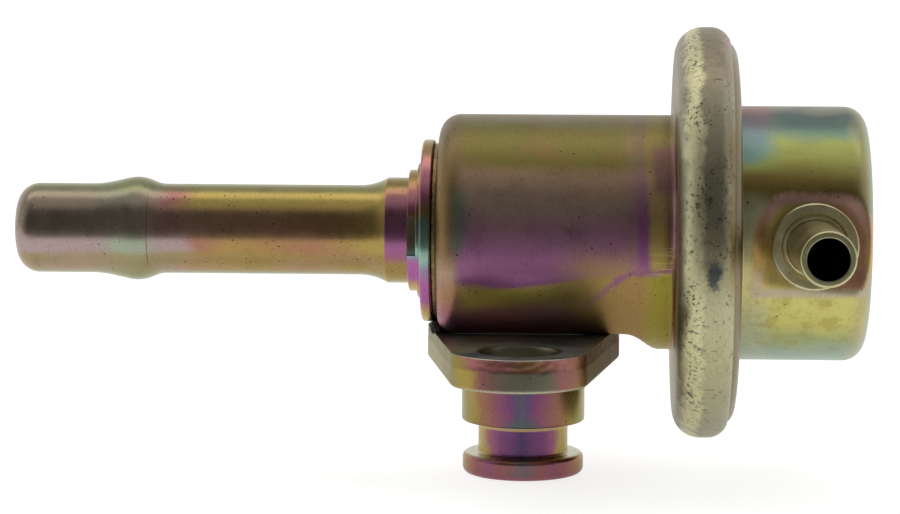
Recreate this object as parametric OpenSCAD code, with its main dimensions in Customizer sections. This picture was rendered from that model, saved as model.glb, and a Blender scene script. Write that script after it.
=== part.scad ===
// Fuel pressure regulator with a two-bolt flange, an inlet spigot, a return tube and a vacuum nipple.
// Origin: inlet axis at the flange's underside, which seats on the fuel rail.
// +X runs along the main axis to the cap, -Y is the vacuum nipple's side, +Z points away from the rail.
// Millimetres.

/* [Layout] */
// Height of the main axis above the rail seat
axis_h = 11.2; // [10.9:0.1:11.8]
// Thickness of the pressed steel sheet of body and cap
sheet = 0.95; // [0.8:0.05:1.1]

/* [Body cup] */
// Outside diameter of the body
body_d = 20.8; // [20.4:0.1:21.4]
// Distance from the inlet axis back to the closed end
body_back = 7.5; // [7:0.1:8]
// Distance from the inlet axis forward to the flared mouth
body_front = 13.25; // [12.9:0.05:13.6]
// Radius round the closed end
body_corner_r = 1.9; // [1.4:0.1:2.2]
// Radius where the wall flares into the mouth
body_root_r = 0.5; // [0.3:0.1:0.8]
// Where the pressed flat ends, ahead of the inlet axis
flat_front = 9.7; // [9:0.1:10]
// Radius that blends the end of the flat into the round wall
flat_blend_r = 2; // [1.5:0.1:2.2]

/* [Rolled rim] */
// Outside diameter of the rolled rim
rim_d = 36.4; // [35.8:0.1:37]
// Width of the rim, from the flared mouth to the face of the cap's flange
rim_w = 5.4; // [5.2:0.1:5.6]
// Radius of the rim's corner on the body side
rim_corner_r = 2.4; // [1.8:0.1:2.5]
// Radius of the lip that is rolled over the cap
lip_r = 1.85; // [1.7:0.05:2]
// Angle through which the lip is rolled
lip_turn = 62; // [55:1:66]

/* [Cap] */
// Outside diameter of the cap
cap_d = 22.5; // [22.1:0.1:22.9]
// Length of the cap beyond its flange
cap_len = 11.4; // [10.9:0.1:11.9]
// Radius round the closed end of the cap
cap_corner_r = 1.9; // [1.5:0.1:2.3]
// Radius at the rim of the cap's flange
cap_rim_r = 1.6; // [1.4:0.1:1.7]
// Radius where the cap's wall meets its flange
cap_root_r = 0.35; // [0.2:0.05:0.35]
// Distance from the main axis to the flat pressed for the nipple
cap_flat = 10.5; // [10.3:0.05:10.7]
// Where that flat starts, measured back from the nipple's axis
cap_flat_back = 4.2; // [4:0.1:4.3]
// Slope of the ramp that leads to that flat
cap_flat_ramp = 30; // [30:1:45]

/* [Outlet tube] */
// Outside diameter of the tube
tube_d = 8; // [7.8:0.1:8.2]
// Wall of the tube
tube_wall = 1; // [0.8:0.05:1.1]
// Distance from the inlet axis to the tip of the tube
tube_reach = 45.3; // [44:0.1:47]
// Radius of the rolled-in tip
tip_r = 1.9; // [1.5:0.1:2.1]
// Diameter over the hose bead
bead_d = 9.4; // [9.1:0.1:9.6]
// Distance from the inlet axis to the crest of the bead
bead_reach = 34.3; // [33.5:0.1:35]
// Length of the bead's ramp on the tip side
bead_ramp = 3.4; // [3:0.1:3.8]
// Length of the bead's back
bead_back = 1.9; // [1.7:0.1:2.2]
// Diameter of the flared socket end
socket_d = 9.4; // [9.2:0.1:9.6]
// Length of the socket's straight band
socket_len = 1.9; // [1.6:0.1:2.2]
// Length of the flare before that band
flare_len = 1.35; // [1.2:0.05:1.6]

/* [Closed end stack] */
// Thickness of the slotted lock ring
lock_t = 1.2; // [1:0.1:1.4]
// Outside diameter of the lock ring
lock_d = 10.8; // [10.4:0.1:11.2]
// Diameter of the lock ring's base lip
lock_base_d = 12; // [11.6:0.1:12.4]
// Thickness of that base lip
lock_base_t = 0.4; // [0.3:0.05:0.5]
// Number of slots in the lock ring
lock_slots = 3; // [2:1:4]
// Width of each slot
lock_slot_w = 3.5; // [3:0.1:4]
// Depth of each slot
lock_slot_deep = 0.65; // [0.5:0.05:0.75]
// Outside diameter of the end washer
washer_d = 16.2; // [15.8:0.1:16.4]
// Thickness of the end washer
washer_t = 1.05; // [0.9:0.05:1.2]
// Outside diameter of the seal washer
seal_d = 15.6; // [15:0.1:15.8]
// Thickness of the seal washer
seal_t = 0.45; // [0.3:0.05:0.6]

/* [Seat stem] */
// Diameter of the neck that passes the closed end
neck_d = 8.4; // [8.2:0.1:8.6]
// Diameter of the stem's flange inside the body
stem_flange_d = 12; // [11:0.1:13]
// Thickness of that flange
stem_flange_t = 1.2; // [1:0.1:1.5]
// Diameter of the stem inside the body
stem_d = 7; // [6.6:0.1:7.4]
// Bore of the stem
stem_bore = 4.2; // [3.8:0.1:4.4]
// Outside diameter of the valve seat's face
seat_d = 5.6; // [5.2:0.1:5.8]
// Length of the cone that leads to the seat
seat_cone = 1; // [0.8:0.1:1.2]
// Length of the nose inside the tube
nose_len = 3.8; // [3:0.1:4.5]

/* [Mounting flange] */
// Thickness of the flange plate
flange_t = 2.8; // [2.6:0.1:3]
// Distance between the two bolt holes
bolt_spacing = 33; // [32.4:0.1:34]
// Diameter of the bolt holes
bolt_hole_d = 6.6; // [6.2:0.1:6.8]
// Distance from a bolt hole's centre to the end of the plate
flange_end_m = 5.6; // [5.3:0.1:6]
// Radius of the plate's blunt ends
flange_end_r = 6.8; // [6.4:0.1:7.4]
// Radius of the corners beside those ends
flange_corner_r = 2.2; // [1.8:0.1:2.6]
// Radius of the plate's middle
flange_mid_r = 8.55; // [8.3:0.05:8.8]
// Angle by which the plate's sides taper towards its ends
flange_taper = 10.5; // [9.5:0.5:11.5]

/* [Inlet spigot] */
// Diameter of the spigot's collar
spigot_d = 11; // [10.7:0.1:11.3]
// Diameter of the shoulder above the collar, which the flange plate is brazed to
shoulder_d = 12; // [11.8:0.1:12.4]
// Length of the collar below the rail seat
spigot_len = 5.75; // [5.4:0.05:6]
// Width of the ring groove
groove_w = 2.85; // [2.6:0.05:3.1]
// Diameter at the bottom of the groove
groove_d = 8; // [7.7:0.1:8.3]
// Diameter of the end flange below the groove
toe_d = 10.8; // [10.5:0.1:11.1]
// Thickness of that end flange
toe_t = 1.9; // [1.7:0.05:2.1]
// Radius of the end flange's edges
toe_r = 0.55; // [0.3:0.05:0.7]
// Diameter of the neck that passes the body's wall
inlet_neck_d = 8; // [7.8:0.1:8.2]
// Bore of the spigot
inlet_bore = 5.5; // [5:0.1:5.8]
// How far the neck stands into the body
inlet_stand = 0.6; // [0.3:0.1:0.9]

/* [Vacuum nipple] */
// Distance from the inlet axis to where the nipple's axis meets the main axis
nipple_at = 24.5; // [24.2:0.1:24.8]
// Angle by which the nipple and its flat lean towards the cap's end
nipple_lean = 2.5; // [1:0.5:3.5]
// Outside diameter of the nipple
nipple_d = 4.7; // [4.5:0.1:4.9]
// Bore of the nipple
nipple_bore = 3.5; // [3.2:0.1:3.7]
// Distance from the main axis to the nipple's tip
nipple_reach = 20.8; // [20:0.1:21.6]
// Diameter of the nipple's collar
nipple_collar_d = 7.5; // [7.2:0.1:7.8]
// Thickness of the collar
nipple_collar_t = 1; // [0.8:0.05:1.2]
// How far the nipple stands into the cap
nipple_stand = 0.5; // [0.3:0.1:0.7]

/* [Diaphragm] */
// Thickness of the rubber membrane
membrane_t = 0.6; // [0.5:0.05:0.7]
// Thickness of the bead in the rolled rim
bead_t = 1.3; // [1.1:0.05:1.5]
// Radius at which the fold of the membrane starts
fold_in_r = 9.3; // [9.2:0.05:9.5]
// Width of the bead, from the rim's wall inwards
bead_w = 1.8; // [1.7:0.1:2.2]
// Height of the fold
fold_h = 1.8; // [1.5:0.1:1.9]

/* [Valve] */
// Diameter of the plate on the fuel side
plate_d = 16.8; // [16:0.1:17.4]
// Thickness of the pressed plates that clamp the membrane
plate_t = 0.8; // [0.7:0.05:0.9]
// Diameter of the spring seat's rim
spring_seat_d = 17.6; // [17.4:0.1:17.8]
// Height of the spring seat's rim above its floor
spring_seat_h = 1.45; // [1.2:0.05:1.6]
// Diameter of the holder's shank through the membrane
shank_d = 5.2; // [5:0.1:5.4]
// Diameter of the riveted head
rivet_d = 7.2; // [6.8:0.1:7.6]
// Height of the riveted head
rivet_h = 1.25; // [1.1:0.05:1.4]
// Diameter of the holder's flange under the plate
holder_flange_d = 8.4; // [8:0.1:8.8]
// Thickness of that flange
holder_flange_t = 0.65; // [0.55:0.05:0.75]
// Diameter of the holder's mouth
mouth_d = 5.8; // [5.6:0.1:6]
// Depth of the holder's mouth below its flange
mouth_h = 1.15; // [1:0.05:1.25]
// Diameter of the ball
ball_d = 3; // [2.9:0.05:3.1]
// How deep the ball sits in the disc
ball_dimple = 0.3; // [0.25:0.05:0.4]
// Diameter of the valve disc
disc_d = 6.8; // [6.4:0.1:7.2]
// Thickness of the valve disc
disc_t = 0.9; // [0.8:0.05:1]
// Gap between the disc and the holder's mouth
disc_gap = 0.4; // [0.3:0.05:0.5]
// Thickness of the ball's retaining ring
retainer_t = 0.4; // [0.3:0.05:0.45]
// Outside diameter of the retaining ring
retainer_d = 4.6; // [4.4:0.1:4.8]

/* [Springs] */
// Wire of the main spring
spring_wire = 1.8; // [1.6:0.1:1.9]
// Mean diameter of the main spring
spring_mean_d = 13.8; // [13.4:0.1:13.9]
// Turns of the main spring
spring_turns = 5.5; // [5:0.5:6]
// Wire of the ball's spring
ball_wire = 0.3; // [0.25:0.05:0.35]
// Mean diameter of the ball's spring
ball_spring_d = 2.1; // [2:0.05:2.2]
// Turns of the ball's spring
ball_turns = 4.5; // [4:0.5:5]

/* [Fits] */
// Radial room between turned pieces that are brazed or screwed together
fit = 0.04; // [0.02:0.01:0.06]
// Room between the cap's rim and the rolled lip
rim_fit = 0.05; // [0.03:0.01:0.08]
// Radial room of the ball in the holder
ball_fit = 0.05; // [0.03:0.01:0.08]

/* [Hidden] */
$fn = 96;
arc_step = 7.5;

steel_gold = "#8f7a45";
steel_pale = "#a8a68a";
steel_grey = "#9a9a98";
rubber = "#2b2b2b";

// Places along the main axis, from the closed end to the cap
washer_at = -body_back - seal_t - washer_t;
lock_at = washer_at - lock_t;
body_floor = -body_back + sheet;
mouth_floor = body_front + sheet;
cap_face = body_front + rim_w;
cap_end = cap_face + cap_len;
skirt_end = mouth_floor + bead_t;

// The membrane lies in the middle of its bead, and the valve train hangs on it
membrane_at = mouth_floor + (bead_t - membrane_t) / 2;
plate_at = membrane_at - plate_t;
spring_floor = membrane_at + membrane_t + plate_t;
holder_at = plate_at - holder_flange_t;
mouth_at = holder_at - mouth_h;
disc_back = mouth_at - disc_gap;
seat_at = disc_back - disc_t;
ball_at = disc_back + ball_d / 2 - ball_dimple;
bore_r = ball_d / 2 + ball_fit;
bore_end = spring_floor + rivet_h - 0.6;

// Radii of the rolled rim, from the outside in
body_r = body_d / 2;
rim_r = rim_d / 2;
rim_in_r = rim_r - sheet;
skirt_r = rim_in_r - rim_fit;
bead_in = skirt_r - bead_w;
fold_out_r = bead_in - 0.8;
lip_at = [rim_r - lip_r, cap_face - 2.3];
cap_rim_at = [skirt_r - cap_rim_r, cap_face - cap_rim_r];
lip_edge = lip_at + lip_r * [cos(lip_turn), sin(lip_turn)];
lip_cover = asin(min(1, (lip_edge[1] - cap_rim_at[1]) / (cap_rim_r + rim_fit)));

// The tube's radii and the corner where its flare starts
tube_r = tube_d / 2;
tube_tip = -tube_reach;
socket_at = lock_at - socket_len;
flare_slope = atan2((socket_d - tube_d) / 2, flare_len);
flare_shift = tube_wall * tan(flare_slope / 2);

// Level of the flat under the body, on which the flange plate lies
flat_level = flange_t;

function unit(v) = v / norm(v);
function cross2(a, b) = a[0] * b[1] - a[1] * b[0];
function spot(p) = [p[0], p[1]];
function radius(p) = len(p) > 2 ? p[2] : 0;
function turn_at(a, p, b) =
  let (d = unit(p - a), e = unit(b - p))
  atan2(cross2(d, e), d * e);
function arc(centre, r, from, to) =
  let (steps = max(1, ceil(abs(to - from) / arc_step)))
  [for (k = [0:steps]) let (t = from + (to - from) * k / steps) centre + r * [cos(t), sin(t)]];

// A corner p between a and b, rounded with radius r
function corner(a, p, b, r) =
  let (turn = turn_at(a, p, b), d = unit(p - a))
  r <= 0 || abs(turn) < 0.01 ? [p]
  : let (
      side = [-d[1], d[0]] * sign(turn),
      centre = p - d * r * tan(abs(turn) / 2) + side * r,
      from = atan2(-side[1], -side[0])
    )
    arc(centre, r, from, from + turn);

// An open path of [x, y] or [x, y, corner radius] points, with its corners rounded
function rounded(path) =
  let (last = len(path) - 1)
  [
    for (i = [0:last])
      each i == 0 || i == last ? [spot(path[i])]
        : corner(spot(path[i - 1]), spot(path[i]), spot(path[i + 1]), radius(path[i]))
  ];

// The same path, moved to its left by w, with the corner radii that keep the wall even
function moved(path, w) =
  let (last = len(path) - 1)
  [
    for (i = [0:last])
      let (
        p = spot(path[i]),
        d = unit(i == 0 ? spot(path[1]) - p : p - spot(path[i - 1])),
        turn = i == 0 || i == last ? 0 : turn_at(spot(path[i - 1]), p, spot(path[i + 1])),
        out = [-d[1], d[0]] * w - d * w * tan(turn / 2)
      )
      [each (p + out), max(0, radius(path[i]) - sign(turn) * w)]
  ];

function reversed(list) = [for (i = [len(list) - 1:-1:0]) list[i]];
function strip(path, w) = concat(rounded(path), reversed(rounded(moved(path, w))));

// A solid of revolution on the main axis, from an outline in radius and place along the axis
module on_main_axis() {
  translate([0, 0, axis_h])
    rotate([0, 90, 0])
      children();
}

module turned(outline) {
  on_main_axis()
    rotate_extrude()
      polygon(outline);
}

// The space under the pressed flat of the body, raised by lift for the inner side
module below_flat(lift) {
  back = -body_back - 5;
  start = [flat_front + lift * tan(22.5), flat_level + lift];
  low = axis_h - body_r + lift - 0.05;
  foot = start[0] + start[1] - low;
  end = foot + flat_blend_r * tan(22.5);
  side = rounded([
    [back, start[1]],
    [start[0], start[1], 0.6],
    [foot, low, flat_blend_r],
    [end, low]
  ]);
  rotate([90, 0, 0])
    linear_extrude(3 * body_d, center = true)
      polygon(concat(side, [[end, low - 5], [back, low - 5]]));
}

// The nipple's place on the main axis, turned by its lean
module leaning() {
  translate([nipple_at, 0, axis_h])
    rotate([0, 0, nipple_lean])
      children();
}

// The space in front of the flat pressed into the cap, moved in by lift for the inner side
module before_cap_flat(lift) {
  start = -cap_flat_back + lift * tan(cap_flat_ramp / 2);
  level = -cap_flat + lift;
  deep = cap_d / 2 - cap_flat;
  foot = start - deep / tan(cap_flat_ramp);
  end = cap_end - nipple_at + 5;
  leaning()
    linear_extrude(4 * cap_d, center = true)
      polygon([
        [start, level], [end, level], [end, level - 5], [foot, level - 5], [foot, level - deep]
      ]);
}

body_path = [
  [0, -body_back],
  [body_r, -body_back, body_corner_r],
  [body_r, body_front, body_root_r],
  [rim_r, body_front, rim_corner_r],
  [rim_r, lip_at[1]]
];

module body_outside() {
  lip = arc(lip_at, lip_r, 0, lip_turn);
  turned(concat(rounded(body_path), lip, [[0, lip_edge[1]]]));
}

module body_inside() {
  lip = arc(cap_rim_at, cap_rim_r + rim_fit, 0, lip_cover);
  open = [lip[len(lip) - 1][0], lip_edge[1] + 1];
  turned(concat(rounded(moved(body_path, sheet)), lip, [open, [0, open[1]]]));
}

module body_cup() {
  color(steel_gold)
    difference() {
      difference() {
        body_outside();
        below_flat(0);
      }
      difference() {
        body_inside();
        below_flat(sheet);
      }
      on_main_axis()
        translate([0, 0, -body_back - 1])
          cylinder(r = neck_d / 2 + fit, h = sheet + 2);
      translate([0, 0, flat_level - 1])
        cylinder(r = inlet_neck_d / 2 + fit, h = sheet + 2);
    }
}

cap_path = [
  [0, cap_end],
  [cap_d / 2, cap_end, cap_corner_r],
  [cap_d / 2, cap_face, cap_root_r],
  [skirt_r, cap_face, cap_rim_r],
  [skirt_r, skirt_end]
];

module cap_shell() {
  color(steel_pale)
    difference() {
      difference() {
        turned(concat(rounded(cap_path), [[0, skirt_end]]));
        before_cap_flat(0);
      }
      difference() {
        turned(concat(rounded(moved(cap_path, -sheet)), [[0, skirt_end]]));
        before_cap_flat(sheet);
      }
      nipple_axis()
        cylinder(r = nipple_d / 2 + fit, h = cap_d);
    }
}

module outlet_tube() {
  crest = bead_d / 2;
  path = [
    [tube_r - tip_r, tube_tip],
    [tube_r, tube_tip, tip_r],
    [tube_r, -bead_reach - bead_ramp, 3],
    [crest, -bead_reach, 2],
    [tube_r, -bead_reach + bead_back, 1.5],
    [tube_r, socket_at - flare_len, 5],
    [socket_d / 2, socket_at, 0.25],
    [socket_d / 2, lock_at]
  ];
  color(steel_gold)
    turned(strip(path, tube_wall));
}

module seat_stem() {
  nose_r = tube_r - tube_wall - fit;
  socket_r = socket_d / 2 - tube_wall - fit;
  flare_at = socket_at + flare_shift;
  color(steel_grey)
    turned([
      [stem_bore / 2, flare_at - flare_len - nose_len],
      [nose_r, flare_at - flare_len - nose_len],
      [nose_r, flare_at - flare_len + 2 * fit],
      [socket_r, flare_at + 2 * fit],
      [socket_r, lock_at],
      [neck_d / 2, lock_at],
      [neck_d / 2, body_floor],
      [stem_flange_d / 2, body_floor],
      [stem_flange_d / 2, body_floor + stem_flange_t],
      [stem_d / 2, body_floor + stem_flange_t],
      [stem_d / 2, seat_at - seat_cone],
      [seat_d / 2, seat_at],
      [stem_bore / 2, seat_at]
    ]);
}

module lock_ring() {
  r = lock_d / 2;
  color(steel_gold)
    difference() {
      turned([
        [neck_d / 2 + fit, lock_at],
        [r, lock_at],
        [r, washer_at - lock_base_t],
        [lock_base_d / 2, washer_at - lock_base_t],
        [lock_base_d / 2, washer_at],
        [neck_d / 2 + fit, washer_at]
      ]);
      on_main_axis()
        for (k = [0:lock_slots - 1])
          rotate(-90 + k * 360 / lock_slots)
            translate([r - lock_slot_deep, -lock_slot_w / 2, lock_at - 1])
              cube([3, lock_slot_w, lock_t - lock_base_t + 1]);
    }
}

// A flat ring on the main axis, from place a to place b
module washer(d, hole, a, b) {
  turned([[hole / 2, a], [d / 2, a], [d / 2, b], [hole / 2, b]]);
}

module end_washer() {
  color(steel_gold)
    washer(washer_d, neck_d + 2 * fit, washer_at, washer_at + washer_t);
}

module seal_washer() {
  color(steel_grey)
    washer(seal_d, neck_d + 2 * fit, washer_at + washer_t, -body_back);
}

// A quarter of the plate's outline: the round middle, a tapered side, a rounded corner and half an end
function flange_quarter() =
  let (
    side = [-sin(flange_taper), cos(flange_taper)],
    out = [cos(flange_taper), sin(flange_taper)],
    end_at = [0, bolt_spacing / 2 + flange_end_m - flange_end_r],
    start = out * (flange_mid_r - flange_corner_r) - end_at,
    along = start * side,
    reach = pow(flange_end_r - flange_corner_r, 2) - start * start + along * along,
    corner_at = end_at + start + side * (sqrt(reach) - along),
    meet = atan2(corner_at[1] - end_at[1], corner_at[0])
  )
  concat(
    arc([0, 0], flange_mid_r, 0, flange_taper),
    arc(corner_at, flange_corner_r, flange_taper, meet),
    arc(end_at, flange_end_r, meet, 90)
  );

module flange_outline() {
  quarter = flange_quarter();
  last = len(quarter) - 1;
  half = concat(quarter, [for (i = [last - 1:-1:0]) [-quarter[i][0], quarter[i][1]]]);
  polygon(concat(half, [for (i = [2 * last - 1:-1:1]) [half[i][0], -half[i][1]]]));
}

module mounting_flange() {
  color(steel_gold)
    difference() {
      linear_extrude(flange_t)
        flange_outline();
      translate([0, 0, -1]) {
        cylinder(r = shoulder_d / 2 + fit, h = flange_t + 2);
        for (s = [-1, 1])
          translate([0, s * bolt_spacing / 2, 0])
            cylinder(d = bolt_hole_d, h = flange_t + 2);
      }
    }
}

module inlet_spigot() {
  groove_top = -spigot_len;
  toe_top = groove_top - groove_w;
  toe_end = toe_top - toe_t;
  top = flange_t + sheet + inlet_stand;
  outline = rounded([
    [inlet_bore / 2, toe_end],
    [toe_d / 2, toe_end, toe_r],
    [toe_d / 2, toe_top, toe_r],
    [groove_d / 2, toe_top, 0.2],
    [groove_d / 2, groove_top, 0.2],
    [spigot_d / 2, groove_top, 0.2],
    [spigot_d / 2, 0],
    [shoulder_d / 2, 0],
    [shoulder_d / 2, flange_t],
    [inlet_neck_d / 2, flange_t],
    [inlet_neck_d / 2, top],
    [inlet_bore / 2, top]
  ]);
  color(steel_gold)
    rotate_extrude()
      polygon(outline);
}

// The nipple's axis, starting on the main axis and pointing out of the cap
module nipple_axis() {
  leaning()
    rotate([90, 0, 0])
      children();
}

module vacuum_nipple() {
  base = cap_flat - sheet - nipple_stand;
  outline = rounded([
    [nipple_bore / 2, base],
    [nipple_d / 2, base],
    [nipple_d / 2, cap_flat],
    [nipple_collar_d / 2, cap_flat],
    [nipple_collar_d / 2, cap_flat + nipple_collar_t, 0.3],
    [nipple_d / 2, cap_flat + nipple_collar_t, 0.3],
    [nipple_d / 2, nipple_reach, 0.25],
    [nipple_bore / 2, nipple_reach, 0.1],
    [nipple_bore / 2, base]
  ]);
  color(steel_gold)
    nipple_axis()
      rotate_extrude()
        polygon(outline);
}

module diaphragm() {
  top = membrane_at + fold_h;
  path = [
    [shank_d / 2 + fit, membrane_at],
    [fold_in_r, membrane_at, 0.6],
    [fold_in_r + 1, top, 0.8],
    [fold_out_r - 1, top, 0.8],
    [fold_out_r, membrane_at, 0.6],
    [fold_out_r + 1, membrane_at]
  ];
  // The bead fills the rim's inner corner
  fill_r = rim_corner_r - sheet;
  fill_at = [skirt_r - fill_r, mouth_floor + fill_r];
  fill_end = fill_r > bead_t ? -asin((fill_r - bead_t) / fill_r) : 0;
  bead = concat(
    [[bead_in, skirt_end], [bead_in, mouth_floor]],
    arc(fill_at, fill_r, -90, fill_end),
    fill_r > bead_t ? [] : [[skirt_r, skirt_end]]
  );
  color(rubber)
    on_main_axis()
      rotate_extrude() {
        polygon(strip(path, membrane_t));
        polygon(bead);
      }
}

module diaphragm_plate() {
  color(steel_grey)
    washer(plate_d, shank_d + 2 * fit, plate_at, membrane_at);
}

module spring_seat() {
  path = [
    [shank_d / 2 + fit, membrane_at + membrane_t],
    [spring_seat_d / 2, membrane_at + membrane_t, 1],
    [spring_seat_d / 2, spring_floor + spring_seat_h]
  ];
  color(steel_grey)
    turned(strip(path, plate_t));
}

module valve_holder() {
  color(steel_grey)
    turned([
      [retainer_d / 2 + fit, mouth_at],
      [mouth_d / 2, mouth_at],
      [mouth_d / 2, holder_at],
      [holder_flange_d / 2, holder_at],
      [holder_flange_d / 2, plate_at],
      [shank_d / 2, plate_at],
      [shank_d / 2, spring_floor],
      [rivet_d / 2, spring_floor],
      [rivet_d / 2 - 0.4, spring_floor + rivet_h],
      [0, spring_floor + rivet_h],
      [0, bore_end],
      [bore_r, bore_end],
      [bore_r, mouth_at + retainer_t],
      [retainer_d / 2 + fit, mouth_at + retainer_t]
    ]);
}

module valve_plate() {
  color(steel_grey)
    difference() {
      washer(disc_d, 0, seat_at, disc_back);
      on_main_axis()
        translate([0, 0, ball_at])
          sphere(ball_d / 2);
    }
}

module valve_ball() {
  color(steel_grey)
    on_main_axis()
      translate([0, 0, ball_at])
        sphere(ball_d / 2 - 0.01);
}

module ball_retainer() {
  back = ball_at - mouth_at - retainer_t;
  hole_r = sqrt(pow(ball_d / 2, 2) - pow(back, 2)) + ball_fit / 2;
  color(steel_grey)
    washer(retainer_d, 2 * hole_r, mouth_at, mouth_at + retainer_t);
}

// A coil from height 0 to height h with closed ends, ground flat where it would stand out
module coil(mean_r, wire, h, turns, around, sides, sunk) {
  closed = 1.03 * wire;
  rise = (h - wire * (1 - 2 * sunk) - 2 * closed) / (turns - 2);
  steps = round(turns * around);
  function height(t) =
    wire * (0.5 - sunk) + closed * min(t, 1) + rise * max(0, min(t - 1, turns - 2))
      + closed * max(0, t - turns + 1);
  function ring(i) =
    let (t = i / around)
    [
      for (k = [0:sides - 1])
        let (a = 360 * k / sides, r = mean_r + wire / 2 * cos(a))
        [r * cos(360 * t), r * sin(360 * t), height(t) + wire / 2 * sin(a)]
    ];
  points = [for (i = [0:steps]) each ring(i)];
  walls = [
    for (i = [0:steps - 1], k = [0:sides - 1])
      let (n = (k + 1) % sides, a = i * sides)
      [a + k, a + sides + k, a + sides + n, a + n]
  ];
  ends = [
    [for (k = [0:sides - 1]) k],
    [for (k = [sides - 1:-1:0]) steps * sides + k]
  ];
  intersection() {
    polyhedron(points, concat(walls, ends));
    cylinder(r = mean_r + wire, h = h);
  }
}

module main_spring() {
  color(steel_grey)
    on_main_axis()
      translate([0, 0, spring_floor])
        coil(spring_mean_d / 2, spring_wire, cap_end - sheet - spring_floor, spring_turns, 28, 12, 0.2);
}

module ball_spring() {
  reach = ball_d / 2 + ball_wire / 2 + 0.03;
  start = ball_at + sqrt(reach * reach - pow(ball_spring_d / 2, 2)) - ball_wire / 2;
  color(steel_grey)
    on_main_axis()
      translate([0, 0, start])
        coil(ball_spring_d / 2, ball_wire, bore_end - start, ball_turns, 16, 8, 0);
}

body_cup();
cap_shell();
outlet_tube();
seat_stem();
lock_ring();
end_washer();
seal_washer();
mounting_flange();
inlet_spigot();
vacuum_nipple();
diaphragm();
diaphragm_plate();
spring_seat();
valve_holder();
valve_plate();
valve_ball();
ball_retainer();
ball_spring();
main_spring();
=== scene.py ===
"""A fuel pressure regulator: plated sheet metal shells, tube work, mounting flange and inner valve."""

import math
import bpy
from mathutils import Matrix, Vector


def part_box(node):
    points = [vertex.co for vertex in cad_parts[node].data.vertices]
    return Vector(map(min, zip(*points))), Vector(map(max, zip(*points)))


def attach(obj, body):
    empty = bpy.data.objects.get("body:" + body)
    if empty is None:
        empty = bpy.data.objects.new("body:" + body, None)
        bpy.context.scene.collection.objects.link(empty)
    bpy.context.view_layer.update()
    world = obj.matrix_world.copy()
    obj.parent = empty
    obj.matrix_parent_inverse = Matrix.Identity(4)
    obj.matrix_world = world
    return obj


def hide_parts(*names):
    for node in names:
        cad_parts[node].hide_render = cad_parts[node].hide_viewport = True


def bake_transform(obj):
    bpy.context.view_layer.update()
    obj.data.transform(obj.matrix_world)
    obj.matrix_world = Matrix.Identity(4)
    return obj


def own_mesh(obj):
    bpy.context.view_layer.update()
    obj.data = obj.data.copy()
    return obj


bl_info = {
    "name": "Fuel Pressure Regulator",
    "version": (1, 0, 0),
    "blender": (4, 5, 0),
    "location": "3D View > Sidebar > Regulator",
    "description": "Builds a plated fuel pressure regulator and its studio stage",
    "category": "Add Mesh",
}

import bmesh
import bpy
from bpy.props import FloatProperty, FloatVectorProperty, IntProperty, PointerProperty
from bpy.types import Operator, Panel, PropertyGroup
from mathutils import Matrix, Vector, noise

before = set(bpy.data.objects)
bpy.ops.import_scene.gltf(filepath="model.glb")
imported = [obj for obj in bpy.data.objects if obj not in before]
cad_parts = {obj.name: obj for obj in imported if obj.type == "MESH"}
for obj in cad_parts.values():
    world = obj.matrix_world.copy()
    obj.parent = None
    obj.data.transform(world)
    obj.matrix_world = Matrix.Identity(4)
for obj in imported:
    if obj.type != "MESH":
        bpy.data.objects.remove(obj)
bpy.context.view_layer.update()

MM = 0.001
# Room between pieces that fit together, radius of a plainly cut edge, hub that outlines are swept round
FIT = 0.04 * MM
EDGE = 0.08 * MM
HUB = 1 * MM
# Faces round a drilled hole
ROUND = 96
HOUSING = "housing"
VALVE = "valve_assembly"


def linear(code):
    """A colour written as sRGB hex, in linear light."""
    parts = [int(code[i : i + 2], 16) / 255 for i in (1, 3, 5)]
    return tuple(c / 12.92 if c <= 0.04045 else ((c + 0.055) / 1.055) ** 2.4 for c in parts)


def length(name, mm, description):
    return FloatProperty(
        name=name, description=description, default=mm * MM, min=0.0, precision=5, unit="LENGTH"
    )


def angle(name, degrees, description):
    return FloatProperty(
        name=name, description=description, default=math.radians(degrees), subtype="ANGLE"
    )


def shift(name, mm, description):
    return FloatProperty(name=name, description=description, default=mm * MM, unit="LENGTH")


def tint(name, code, description):
    return FloatVectorProperty(
        name=name, description=description, default=linear(code), min=0.0, max=1.0, subtype="COLOR"
    )


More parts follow.
